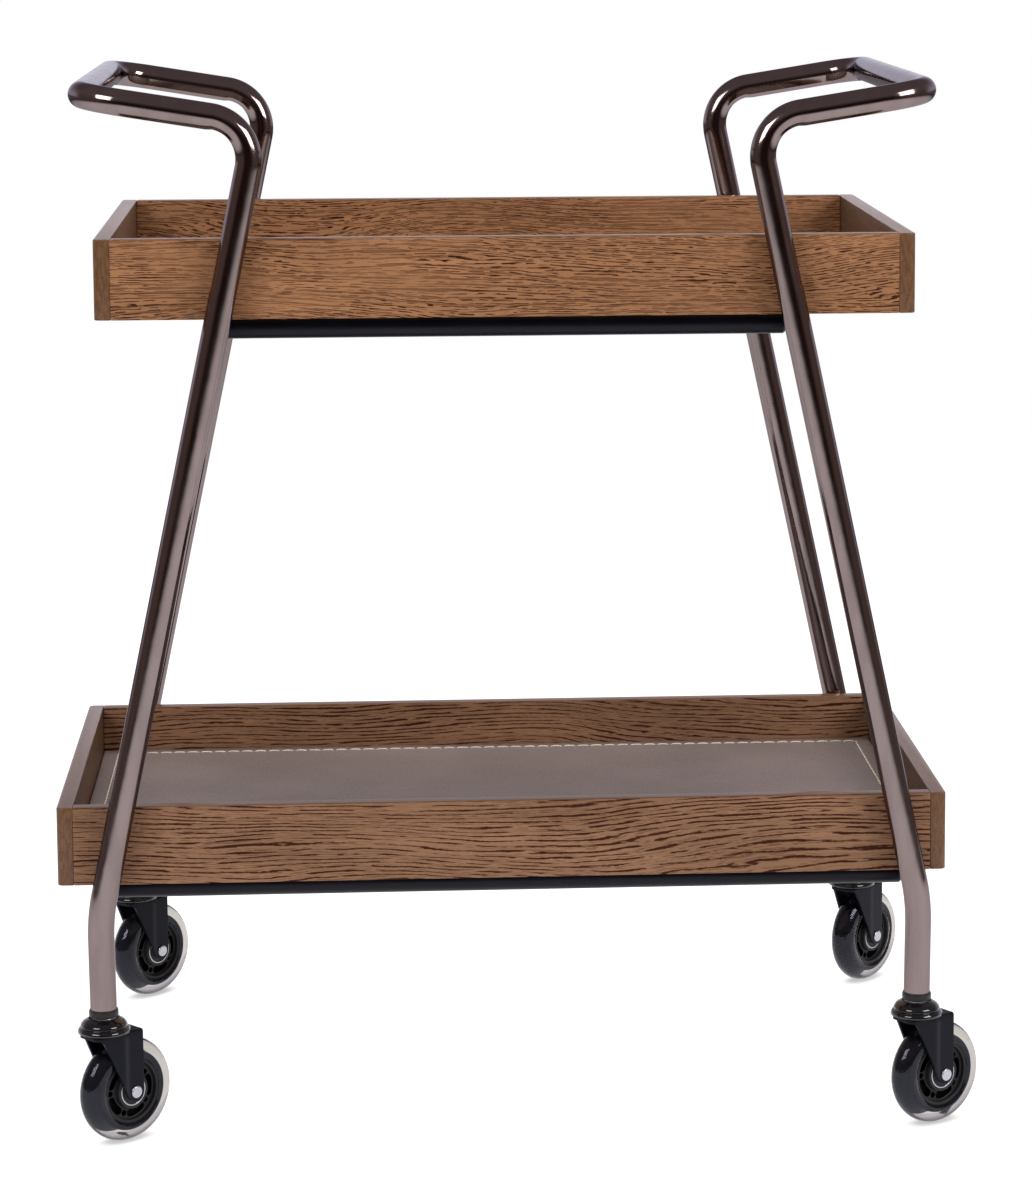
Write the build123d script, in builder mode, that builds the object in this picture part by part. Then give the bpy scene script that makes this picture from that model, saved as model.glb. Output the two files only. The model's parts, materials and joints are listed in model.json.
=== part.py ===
from build123d import *
import os
from math import asin, atan2, cos, hypot, radians, sin, sqrt

os.makedirs("parts", exist_ok=True)

# Bar cart: two trays between two bent tube frames, on four swivel casters.
# Millimetres. X runs across the cart, Y from front to back, Z up; the origin is on the floor at its centre.

# Bent tube frames: corners of a tube's centre line before its bends are rounded
tube_diameter = 19.0
tube_wall = 1.5
foot_x = 293.3
knee_x = 294.1
knee_z = 168.4
knee_radius = 150.0
shoulder_x = 174.1
shoulder_z = 732.4
shoulder_radius = 31.0
grip_x = 296.5
grip_z = 752.0
grip_radius = 30.0

# Wooden trays
tray_depth = 365.0
upper_tray_width = 580.0
lower_tray_width = 640.0
upper_tray_z = 594.5
lower_tray_z = 188.6
lower_tray_shift = -4.7  # the lower tray sits a little left of the middle
tray_height = 57.0
board_thickness = 11.5
board_edge_round = 1.2
tray_corner_round = 4.0
tray_leg_gap = 1.0
panel_thickness = 9.0
panel_rise = 10.5  # from the boards' lower edges to the underside of the panel
groove_depth = 3.0
groove_clearance = 0.1
leather_thickness = 3.0
leather_gap = 0.5
leather_edge_round = 1.0

# Black rods from leg to leg under each tray, and the rails across them
rod_diameter = 12.7
stub_length = 25.0
spigot_diameter = 9.0
spigot_length = 14.0
spigot_clearance = 0.05
rail_diameter = 16.0
rail_wall = 1.5
rail_setback = 32.0  # from a tray's front face to a rail's axis
rail_drop = 1.0  # from a tray's lower edges to the top of a rail
rail_end_round = 2.5
rail_end_cap = 4.0
rail_overlap = 2.0  # how far a rail's end wraps around the rod it is welded to

# Screws up through the stubs into the trays
screw_diameter = 4.0
screw_reach = 24.0
screw_head_diameter = 8.0
screw_head_height = 2.4
screw_seat_depth = 1.9
screw_clearance = 0.15

# Casters
wheel_diameter = 76.0
wheel_width = 20.0
rim_radius = 24.0
rim_half_width = 8.6
flange_radius = 29.0
flange_half_width = 6.5
dish_inner_radius = 13.0
dish_outer_radius = 21.5
web_half_thickness = 5.0
window_count = 5
window_radius = 17.3
window_width = 6.0
window_angle = 34.0
small_window_diameter = 4.4
window_depth = 4.0
bearing_diameter = 22.0
bearing_width = 7.0
bearing_race = 1.2
bearing_shield_depth = 0.5
hub_bore_radius = 6.0
axle_diameter = 8.0
axle_head_diameter = 9.0
axle_head_height = 1.3
axle_head_round = 0.9
axle_clearance = 0.05
washer_diameter = 12.5
wheel_side_gap = 1.4
caster_trail = 17.5
fork_sheet = 2.0
fork_front = 15.0  # from the swivel axis to the front of the fork
fork_front_narrowing = 2.0
fork_skirt = 3.2
fork_arm_radius = 7.0
fork_fold_lead = 7.5  # from the axle forward to the fold in each arm
fork_fold_round = 5.0
fork_edge_round = 1.8
fork_lead_round = 6.0
fork_lead_start = 5.0
wheel_top_gap = 5.6
swivel_gap = 0.4
swivel_clearance = 0.05
stem_diameter = 11.0
stem_length = 28.0
stem_tip = 2.0
stem_ring_diameter = 18.0
stem_ring_height = 2.6
shank_diameter = 10.0
shank_head_diameter = 14.0
shank_head_height = 2.0
cap_diameter = 38.0
cap_shoulder_diameter = 34.0
cap_height = 10.2
cap_rim_height = 3.6
cap_dome_round = 4.8
cap_recess_diameter = 21.5
cap_recess_depth = 1.5
collar_overhang = 1.0
collar_height = 5.6
collar_edge_round = 0.8
socket_length = 34.0
socket_clearance = 0.05

# How each caster stands: its wheel trails this many degrees from +X towards +Y
caster_turns = {
    "front_left": 41.0,
    "front_right": 33.0,
    "rear_left": 46.0,
    "rear_right": 47.0,
}

# Worked out from the sizes above
tube_radius = tube_diameter / 2
leg_y = tray_depth / 2 + tray_leg_gap + tube_radius
wheel_radius = wheel_diameter / 2
plate_under_z = wheel_diameter + wheel_top_gap
plate_top_z = plate_under_z + fork_sheet
cap_z = plate_top_z + swivel_gap
stem_ring_z = cap_z + cap_height - cap_recess_depth
collar_z = stem_ring_z + stem_ring_height
foot_z = collar_z + collar_height
foot_lean = (knee_x - foot_x) / (knee_z - foot_z)
caster_x = foot_x - foot_lean * collar_height
leg_lean = (knee_x - shoulder_x) / (shoulder_z - knee_z)
arm_half_width = wheel_width / 2 + wheel_side_gap
front_half_width = arm_half_width + fork_sheet - fork_front_narrowing
rod_radius = rod_diameter / 2
rail_radius = rail_diameter / 2
rail_y = tray_depth / 2 - rail_setback
stub_end_y = leg_y - tube_radius - stub_length
board_y = (tray_depth - board_thickness) / 2
groove_height = panel_thickness + groove_clearance
trays = {
    "upper": (upper_tray_width, upper_tray_z, 0.0),
    "lower": (lower_tray_width, lower_tray_z, lower_tray_shift),
}
sides = {"left": -1, "right": 1}
depths = {"front": -1, "rear": 1}


def leg_x(height):
    """Distance of a leg's axis from the cart's middle on the leaning stretch."""
    return knee_x - leg_lean * (height - knee_z)


def rod_z(tray_z):
    """Height of the rods that a tray rests on."""
    return tray_z - rod_radius


def save(piece, name):
    """Label a finished piece and write it to its own file."""
    piece.part.label = name
    export_step(piece.part, f"parts/{name}.step")


def frame_corners(side):
    """Corners of one frame's centre line: up the front leg, round the handle and down the rear leg."""
    front = [
        (side * foot_x, -leg_y, foot_z),
        (side * knee_x, -leg_y, knee_z),
        (side * shoulder_x, -leg_y, shoulder_z),
        (side * grip_x, -leg_y, grip_z),
    ]
    rear = [(x, -y, z) for x, y, z in reversed(front)]
    return front + rear


def swept_frame(side, bore_radius):
    """One bent frame tube; with no bore it is the space that the tube takes up."""
    bends = [knee_radius, shoulder_radius, grip_radius]
    with BuildPart() as frame_tube:
        with BuildLine() as centre_line:
            FilletPolyline(*frame_corners(side), radius=bends + bends[::-1])
        with BuildSketch(Plane(origin=centre_line.line @ 0, z_dir=centre_line.line % 0)):
            Circle(tube_radius)
            if bore_radius > 0:
                Circle(bore_radius, mode=Mode.SUBTRACT)
        sweep()
    return frame_tube


# Frame tubes
frame_spaces = {}
for side_name, side in sides.items():
    frame_spaces[side] = swept_frame(side, 0)
    save(swept_frame(side, tube_radius - tube_wall), f"{side_name}_frame_tube")

# Plated stubs welded to the backs of the legs, each with a spigot for a rod and a hole for a tray screw
with BuildPart() as frame_stubs:
    for _, tray_z, _ in trays.values():
        height = rod_z(tray_z)
        for side in sides.values():
            for depth in depths.values():
                x = side * leg_x(height)
                inward = (0, -depth, 0)
                with BuildSketch(Plane(origin=(x, depth * leg_y, height), z_dir=inward)):
                    Circle(rod_radius)
                extrude(amount=tube_radius + stub_length)
                with BuildSketch(Plane(origin=(x, depth * stub_end_y, height), z_dir=inward)):
                    Circle(spigot_diameter / 2)
                extrude(amount=spigot_length)
                with BuildSketch(Plane.XY.offset(height)):
                    with Locations((x, depth * board_y)):
                        Circle(screw_diameter / 2 + screw_clearance)
                extrude(amount=rod_radius, both=True, mode=Mode.SUBTRACT)
                with BuildSketch(Plane.XY.offset(height - rod_radius)):
                    with Locations((x, depth * board_y)):
                        Circle(screw_head_diameter / 2 + screw_clearance)
                extrude(amount=screw_seat_depth, mode=Mode.SUBTRACT)
    for space in frame_spaces.values():
        add(space.part, mode=Mode.SUBTRACT)
save(frame_stubs, "frame_stubs")

# Screws that hold the trays on the stubs
with BuildPart() as tray_screws:
    for _, tray_z, _ in trays.values():
        seat_z = tray_z - rod_diameter + screw_seat_depth
        for side in sides.values():
            for depth in depths.values():
                spot = (side * leg_x(rod_z(tray_z)), depth * board_y)
                with BuildSketch(Plane.XY.offset(seat_z)):
                    with Locations(spot):
                        Circle(screw_diameter / 2)
                extrude(amount=rod_diameter - screw_seat_depth + screw_reach)
                with BuildSketch(Plane.XY.offset(seat_z)):
                    with Locations(spot):
                        Circle(screw_head_diameter / 2)
                extrude(amount=-screw_head_height)
save(tray_screws, "tray_screws")

# Black rods from front stub to rear stub
for tray_name, (_, tray_z, _) in trays.items():
    height = rod_z(tray_z)
    for side_name, side in sides.items():
        with BuildPart() as side_rod:
            with BuildSketch(Plane(origin=(side * leg_x(height), -stub_end_y, height), z_dir=(0, 1, 0))):
                Circle(rod_radius)
                Circle(spigot_diameter / 2 + spigot_clearance, mode=Mode.SUBTRACT)
            extrude(amount=2 * stub_end_y)
        save(side_rod, f"{tray_name}_{side_name}_rod")

# Black rails across the rods, closed at their ends and fitted round the rods
for tray_name, (_, tray_z, _) in trays.items():
    rod_x = leg_x(rod_z(tray_z))
    reach = rod_x - rod_radius + rail_overlap
    rail_z = tray_z - rail_drop - rail_radius
    for depth_name, depth in depths.items():
        with BuildPart() as rail:
            with BuildSketch(Plane(origin=(-reach, depth * rail_y, rail_z), z_dir=(1, 0, 0))):
                Circle(rail_radius)
            extrude(amount=2 * reach)
            fillet(rail.edges().filter_by(GeomType.CIRCLE), radius=rail_end_round)
            bore_end = reach - rail_overlap - rail_end_cap
            with BuildSketch(Plane(origin=(-bore_end, depth * rail_y, rail_z), z_dir=(1, 0, 0))):
                Circle(rail_radius - rail_wall)
            extrude(amount=2 * bore_end, mode=Mode.SUBTRACT)
            for side in sides.values():
                with BuildSketch(Plane(origin=(side * rod_x, 0, rod_z(tray_z)), z_dir=(0, 1, 0))):
                    Circle(rod_radius)
                extrude(amount=tray_depth / 2, both=True, mode=Mode.SUBTRACT)
        save(rail, f"{tray_name}_{depth_name}_rail")


def drill_for_screws(base, shift, rod_x):
    """Holes for a tray's screws in whichever of its boards stands over a stub."""
    spots = [(side * rod_x - shift, depth * board_y) for side in sides.values() for depth in depths.values()]
    with BuildSketch(base) as holes:
        with Locations(*spots):
            Circle(screw_diameter / 2 + screw_clearance)
    extrude(holes.sketch, amount=screw_reach + screw_clearance, mode=Mode.SUBTRACT)


# Trays: end boards cover the ends of the front and rear boards, and all four hold the panel in grooves
for tray_name, (tray_width, tray_z, shift) in trays.items():
    base = Plane(origin=(shift, 0, tray_z))
    inner_width = tray_width - 2 * board_thickness
    inner_depth = tray_depth - 2 * board_thickness
    panel_width = inner_width + 2 * groove_depth
    panel_depth = inner_depth + 2 * groove_depth
    floor_z = panel_rise + panel_thickness
    rod_x = leg_x(rod_z(tray_z))

    for depth_name, depth in depths.items():
        with BuildPart() as long_board:
            with BuildSketch(base):
                with Locations((0, depth * board_y)):
                    Rectangle(inner_width, board_thickness)
            extrude(amount=tray_height)
            top_edges = long_board.faces().sort_by(Axis.Z)[-1].edges()
            fillet(top_edges.filter_by(Axis.X), radius=board_edge_round)
            with BuildSketch(base.offset(panel_rise)):
                Rectangle(inner_width, panel_depth + 2 * groove_clearance)
            extrude(amount=groove_height, mode=Mode.SUBTRACT)
            drill_for_screws(base, shift, rod_x)
        save(long_board, f"{tray_name}_tray_{depth_name}_board")

    for side_name, side in sides.items():
        with BuildPart() as end_board:
            with BuildSketch(base):
                with Locations((side * (tray_width - board_thickness) / 2, 0)):
                    Rectangle(board_thickness, tray_depth)
            extrude(amount=tray_height)
            outer_corners = end_board.edges().filter_by(Axis.Z).sort_by(Axis.X)
            fillet(outer_corners[-2:] if side > 0 else outer_corners[:2], radius=tray_corner_round)
            fillet(end_board.faces().sort_by(Axis.Z)[-1].edges(), radius=board_edge_round)
            with BuildSketch(base.offset(panel_rise)):
                Rectangle(panel_width + 2 * groove_clearance, panel_depth + 2 * groove_clearance)
            extrude(amount=groove_height, mode=Mode.SUBTRACT)
            drill_for_screws(base, shift, rod_x)
        save(end_board, f"{tray_name}_tray_{side_name}_end_board")

    with BuildPart() as panel:
        with BuildSketch(base.offset(panel_rise)):
            Rectangle(panel_width, panel_depth)
        extrude(amount=panel_thickness)
    save(panel, f"{tray_name}_tray_panel")

    with BuildPart() as leather:
        with BuildSketch(base.offset(floor_z)):
            Rectangle(inner_width - 2 * leather_gap, inner_depth - 2 * leather_gap)
        extrude(amount=leather_thickness)
        fillet(leather.faces().sort_by(Axis.Z)[-1].edges(), radius=leather_edge_round)
    save(leather, f"{tray_name}_tray_leather")

# Sockets in the feet of the legs, with a collar under the tube and an upright bore for a caster's stem
with BuildPart() as leg_sockets:
    for side in sides.values():
        for depth in depths.values():
            foot = Plane(
                origin=(side * foot_x, depth * leg_y, foot_z),
                x_dir=(0, 1, 0),
                z_dir=(side * foot_lean, 0, 1),
            )
            with BuildSketch(foot):
                Circle(tube_radius + collar_overhang)
            extrude(amount=-collar_height - collar_overhang)
            with BuildSketch(foot):
                Circle(tube_radius - tube_wall - socket_clearance)
            extrude(amount=socket_length)
            with BuildSketch(Plane(origin=(side * caster_x, depth * leg_y, collar_z))):
                Circle(stem_diameter / 2 + socket_clearance)
            extrude(amount=stem_length + stem_tip, mode=Mode.SUBTRACT)
    split(bisect_by=Plane.XY.offset(collar_z), keep=Keep.TOP)
    collar_faces = leg_sockets.faces().group_by(Axis.Z)[0]
    fillet([rim for face in collar_faces for rim in face.outer_wire().edges()], radius=collar_edge_round)
save(leg_sockets, "leg_sockets")


def fork_outline(rear):
    """Corners of the fork seen from above, from its narrow front to its parallel arms."""
    fold = caster_trail - fork_fold_lead
    half = arm_half_width + fork_sheet
    right = [(-fork_front, -front_half_width), (fold, -half), (rear, -half)]
    return right + [(x, -y) for x, y in reversed(right)]


def make_stem(caster, upright, swivel):
    """Steel stem: a pin in the leg's socket, a bright ring, and a shank headed over below the fork."""
    pin = stem_diameter / 2
    shank = shank_diameter / 2
    ring = stem_ring_diameter / 2
    head = shank_head_diameter / 2
    head_top = plate_under_z - swivel_gap
    head_under = head_top - shank_head_height
    tip_z = collar_z + stem_length
    with BuildPart() as stem:
        with BuildSketch(upright):
            with BuildLine():
                Polyline((0, tip_z), (0, head_under), (head, head_under), (head, head_top), (shank, head_top))
                Polyline((shank, head_top), (shank, stem_ring_z), (ring, stem_ring_z), (ring, collar_z))
                Polyline((ring, collar_z), (pin, collar_z), (pin, tip_z - stem_tip), (pin - stem_tip, tip_z))
                Line((pin - stem_tip, tip_z), (0, tip_z))
            make_face()
        revolve(axis=swivel)
    save(stem, f"{caster}_caster_stem")


def make_cap(caster, upright, swivel):
    """Cap over the swivel: a round-edged rim and a domed step with a recess for the stem's ring."""
    bore = shank_diameter / 2 + swivel_clearance
    rim_round = cap_rim_height / 2
    rim_centre = cap_diameter / 2 - rim_round
    rim_z = cap_z + cap_rim_height
    crest_z = cap_z + cap_height
    recess = cap_recess_diameter / 2
    shoulder = cap_shoulder_diameter / 2
    dome_centre = shoulder - cap_dome_round
    dome_z = crest_z - cap_dome_round
    with BuildPart() as cap:
        with BuildSketch(upright):
            with BuildLine():
                Polyline((dome_centre, crest_z), (recess, crest_z), (recess, stem_ring_z))
                Polyline((recess, stem_ring_z), (bore, stem_ring_z), (bore, cap_z), (rim_centre, cap_z))
                CenterArc((rim_centre, cap_z + rim_round), rim_round, -90, 180)
                Polyline((rim_centre, rim_z), (shoulder, rim_z), (shoulder, dome_z))
                CenterArc((dome_centre, dome_z), cap_dome_round, 0, 90)
            make_face()
        revolve(axis=swivel)
    save(cap, f"{caster}_caster_cap")


def make_fork(caster, base, upright):
    """Pressed sheet fork: a plate with a short front skirt and two folded arms down to the axle."""
    rear = caster_trail + fork_arm_radius
    half = arm_half_width + fork_sheet
    skirt_z = plate_top_z - fork_skirt
    lead = (fork_lead_start - fork_front, skirt_z)
    to_axle = (caster_trail - lead[0], wheel_radius - skirt_z)
    lead_angle = atan2(to_axle[1], to_axle[0]) - asin(fork_arm_radius / hypot(*to_axle))
    lead_length = sqrt(hypot(*to_axle) ** 2 - fork_arm_radius**2)
    lead_end = (lead[0] + lead_length * cos(lead_angle), lead[1] + lead_length * sin(lead_angle))
    with BuildPart() as fork:
        with BuildSketch(base) as outline:
            with BuildLine():
                Polyline(*fork_outline(rear), close=True)
            make_face()
            fillet(outline.vertices(), radius=fork_fold_round)
        extrude(amount=plate_top_z)
        fillet(fork.faces().sort_by(Axis.Z)[-1].edges(), radius=fork_edge_round)
        with BuildSketch(base) as inside:
            with BuildLine():
                Polyline(*fork_outline(rear + half), close=True)
            make_face()
            fillet(inside.vertices(), radius=fork_fold_round)
            offset(amount=-fork_sheet, mode=Mode.REPLACE)
        extrude(amount=plate_under_z, mode=Mode.SUBTRACT)
        with BuildSketch(upright):
            with BuildLine():
                Polyline((rear, wheel_radius), (rear, plate_top_z), (-fork_front, plate_top_z))
                Line((-fork_front, plate_top_z), (-fork_front, skirt_z))
                FilletPolyline((-fork_front, skirt_z), lead, lead_end, radius=fork_lead_round)
                ThreePointArc(lead_end, (caster_trail, wheel_radius - fork_arm_radius), (rear, wheel_radius))
            make_face()
        extrude(amount=half, both=True, mode=Mode.INTERSECT)
        with BuildSketch(upright):
            with Locations((caster_trail, wheel_radius)):
                Circle(axle_diameter / 2 + axle_clearance)
        extrude(amount=half, both=True, mode=Mode.SUBTRACT)
        with BuildSketch(base):
            Circle(shank_diameter / 2 + swivel_clearance)
        extrude(amount=plate_top_z, mode=Mode.SUBTRACT)
    save(fork, f"{caster}_caster_fork")


def make_axle(caster, across, spin):
    """Riveted axle with a low round head outside each arm."""
    half = arm_half_width + fork_sheet
    pin = axle_diameter / 2
    head = axle_head_diameter / 2
    end = half + axle_head_height
    with BuildPart() as axle:
        with BuildSketch(across):
            with BuildLine():
                Polyline((0, -end), (head, -end), (head, -half), (pin, -half), (pin, half))
                Polyline((pin, half), (head, half), (head, end), (0, end), (0, -end))
            make_face()
        revolve(axis=spin)
        fillet(axle.edges().filter_by(GeomType.CIRCLE).sort_by(spin)[0], radius=axle_head_round)
        fillet(axle.edges().filter_by(GeomType.CIRCLE).sort_by(spin)[-1], radius=axle_head_round)
    save(axle, f"{caster}_caster_axle")


def make_axle_washers(caster, across, spin):
    """Washers that keep the wheel in the middle of its fork."""
    bore = axle_diameter / 2 + axle_clearance
    near = wheel_width / 2 + axle_clearance
    with BuildPart() as washers:
        with BuildSketch(across):
            for way in (-1, 1):
                with Locations(((bore + washer_diameter / 2) / 2, way * (near + arm_half_width) / 2)):
                    Rectangle(washer_diameter / 2 - bore, arm_half_width - near)
        revolve(axis=spin)
    save(washers, f"{caster}_caster_washers")


def make_bearings(caster, across, spin):
    """Two ball bearings, each with a bright outer race round a sunk shield."""
    outer = bearing_diameter / 2
    bore = axle_diameter / 2 + axle_clearance
    face = wheel_width / 2
    with BuildPart() as bearings:
        with BuildSketch(across):
            for way in (-1, 1):
                with Locations(((outer + bore) / 2, way * (face - bearing_width / 2))):
                    Rectangle(outer - bore, bearing_width)
                with Locations(((outer + bore) / 2, way * (face - bearing_shield_depth / 2))):
                    Rectangle(outer - bore - 2 * bearing_race, bearing_shield_depth, mode=Mode.SUBTRACT)
        revolve(axis=spin)
    save(bearings, f"{caster}_caster_bearings")


def make_hub(caster, across, wheel_face, spin):
    """Moulded hub: a flanged rim, a dished web with windows sunk in each side, a boss for bearings."""
    face = wheel_width / 2
    seat = bearing_diameter / 2
    seat_end = face - bearing_width
    with BuildPart() as hub:
        with BuildSketch(across):
            with BuildLine():
                Polyline((hub_bore_radius, 0), (hub_bore_radius, seat_end), (seat, seat_end), (seat, face))
                Polyline((seat, face), (dish_inner_radius, face), (dish_inner_radius, web_half_thickness))
                Polyline((dish_inner_radius, web_half_thickness), (dish_outer_radius, web_half_thickness),
                         (dish_outer_radius, rim_half_width), (rim_radius, rim_half_width))
                Polyline((rim_radius, rim_half_width), (rim_radius, flange_half_width),
                         (flange_radius, flange_half_width), (flange_radius, 0), (hub_bore_radius, 0))
            make_face()
            mirror(about=Plane.XZ)
        revolve(axis=spin)
        window_floor = web_half_thickness - window_depth
        for way in (-1, 1):
            with BuildSketch(wheel_face.offset(way * window_floor)):
                with PolarLocations(0, window_count):
                    SlotArc(CenterArc((0, 0), window_radius, -window_angle / 2, window_angle), window_width)
                with PolarLocations(window_radius, window_count, start_angle=180 / window_count):
                    Circle(small_window_diameter / 2)
            extrude(amount=way * face, mode=Mode.SUBTRACT)
    save(hub, f"{caster}_caster_hub")


def make_tyre(caster, across, spin):
    """Clear round-treaded tyre moulded over the hub's rim and flange."""
    tread = wheel_width / 2
    edge = sqrt(tread**2 - (wheel_radius - tread - rim_radius) ** 2)
    with BuildPart() as tyre:
        with BuildSketch(across):
            with BuildLine():
                ThreePointArc((rim_radius, -edge), (wheel_radius, 0), (rim_radius, edge))
                Polyline((rim_radius, edge), (rim_radius, flange_half_width),
                         (flange_radius, flange_half_width))
                Polyline((flange_radius, flange_half_width), (flange_radius, -flange_half_width),
                         (rim_radius, -flange_half_width), (rim_radius, -edge))
            make_face()
        revolve(axis=spin)
    save(tyre, f"{caster}_caster_tyre")


# Casters, each turned as it stands
for caster, turn in caster_turns.items():
    depth_name, side_name = caster.split("_")
    trail = Vector(cos(radians(turn)), sin(radians(turn)), 0)
    stand = (sides[side_name] * caster_x, depths[depth_name] * leg_y, 0)
    base = Plane(origin=stand, x_dir=trail, z_dir=(0, 0, 1))
    upright = Plane(origin=base.origin, x_dir=trail, z_dir=-base.y_dir)
    axle_centre = base.from_local_coords(Vector(caster_trail, 0, wheel_radius))
    across = Plane(origin=axle_centre, x_dir=trail, z_dir=(0, 0, 1))
    wheel_face = Plane(origin=axle_centre, x_dir=trail, z_dir=base.y_dir)
    swivel = Axis(base.origin, (0, 0, 1))
    spin = Axis(axle_centre, base.y_dir)
    make_stem(caster, upright, swivel)
    make_cap(caster, upright, swivel)
    make_fork(caster, base, upright)
    make_axle(caster, across, spin)
    make_axle_washers(caster, across, spin)
    make_bearings(caster, across, spin)
    make_hub(caster, across, wheel_face, spin)
    make_tyre(caster, across, spin)
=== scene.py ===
"""Bar cart: the visible pieces and the studio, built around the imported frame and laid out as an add-on."""

import json
import math
import random

import bmesh
import bpy
from bpy.props import FloatProperty, FloatVectorProperty, IntProperty, PointerProperty
from mathutils import Matrix, Vector


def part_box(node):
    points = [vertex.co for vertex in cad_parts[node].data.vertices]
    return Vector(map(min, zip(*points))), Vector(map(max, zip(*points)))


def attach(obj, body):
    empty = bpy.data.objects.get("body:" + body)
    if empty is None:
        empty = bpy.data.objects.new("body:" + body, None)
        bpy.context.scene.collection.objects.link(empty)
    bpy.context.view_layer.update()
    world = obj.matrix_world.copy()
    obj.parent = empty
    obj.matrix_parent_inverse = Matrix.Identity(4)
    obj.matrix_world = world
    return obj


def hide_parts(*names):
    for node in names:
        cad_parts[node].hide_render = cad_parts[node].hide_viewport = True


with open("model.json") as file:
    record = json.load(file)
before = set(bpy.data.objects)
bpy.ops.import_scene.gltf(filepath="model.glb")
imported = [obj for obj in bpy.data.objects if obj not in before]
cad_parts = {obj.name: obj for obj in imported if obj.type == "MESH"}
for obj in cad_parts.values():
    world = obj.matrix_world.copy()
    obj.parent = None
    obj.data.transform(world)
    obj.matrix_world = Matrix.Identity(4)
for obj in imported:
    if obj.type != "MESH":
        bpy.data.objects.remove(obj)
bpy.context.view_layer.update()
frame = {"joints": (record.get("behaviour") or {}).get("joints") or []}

bl_info = {
    "name": "Bar cart",
    "version": (1, 0, 0),
    "blender": (4, 5, 0),
    "location": "View3D > Sidebar > Bar cart",
    "description": "Builds the pieces of a two-tier bar cart and a studio around it",
    "category": "Add Mesh",
}

SIDES = {"left": -1, "right": 1}
DEPTHS = {"front": -1, "rear": 1}
TRAYS = ("upper", "lower")
CASTERS = ("front_left", "front_right", "rear_left", "rear_right")
UP = Vector((0, 0, 1))
TOP_FACING = 0.5  # a face whose normal rises more than this is on top of its board


def length(name, description, default):
    """A size in metres."""
    return FloatProperty(
        name=name, description=description, default=default, min=0, unit="LENGTH", precision=5)


def colour(name, description, default):
    """A colour as light reflects it."""
    return FloatVectorProperty(
        name=name, description=description, default=default, min=0, max=1, subtype="COLOR")


# Sizes and colours

class BAR_CART_PG_frame(bpy.types.PropertyGroup):
    """Sizes of the bent tubes."""

    tube_diameter: length("Tube diameter", "Outside diameter of a frame tube", 0.019)
    foot_x: length("Foot reach", "From the cart's middle to a tube's end", 0.2933)
    knee_x: length("Knee reach", "From the cart's middle to the bend low on a leg", 0.2941)
    knee_z: length("Knee height", "Height of the bend low on a leg", 0.1684)
    knee_radius: length("Knee radius", "Bend radius at the knee", 0.150)
    shoulder_x: length("Shoulder reach", "From the cart's middle to the bend under the handle", 0.1741)
    shoulder_z: length("Shoulder height", "Height of the bend under the handle", 0.7324)
    shoulder_radius: length("Shoulder radius", "Bend radius at the shoulder", 0.031)
    grip_x: length("Grip reach", "From the cart's middle to the handle's grip", 0.2965)
    grip_z: length("Grip height", "Height of the handle's grip", 0.752)
    grip_radius: length("Grip radius", "Bend radius at the grip's ends", 0.030)
    flattening: length("Flattening", "How far bending flattens the inside of a shoulder", 0.0014)
    weld: length("Weld", "Radius of the bead round a stub", 0.0009)
    screw_head: length("Screw head", "Diameter of a tray screw's head", 0.008)


class BAR_CART_PG_tray(bpy.types.PropertyGroup):
    """Sizes of the boards, the leather and its stitches."""

    top_round: length("Top round", "Round along the top of a board", 0.0012)
    seam_round: length("Seam round", "Round where two boards meet", 0.0007)
    corner_round: length("Corner round", "Round at a tray's corners", 0.004)
    stitch_inset: length("Stitch inset", "From the leather's edge to the stitches", 0.012)
    stitch_pitch: length("Stitch pitch", "From one stitch to the next", 0.0108)
    stitch_length: length("Stitch length", "Length of one stitch", 0.0093)
    thread: length("Thread", "Diameter of the thread", 0.0011)
    pucker: length("Pucker", "How deep the stitches pull the leather in", 0.0004)


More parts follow.
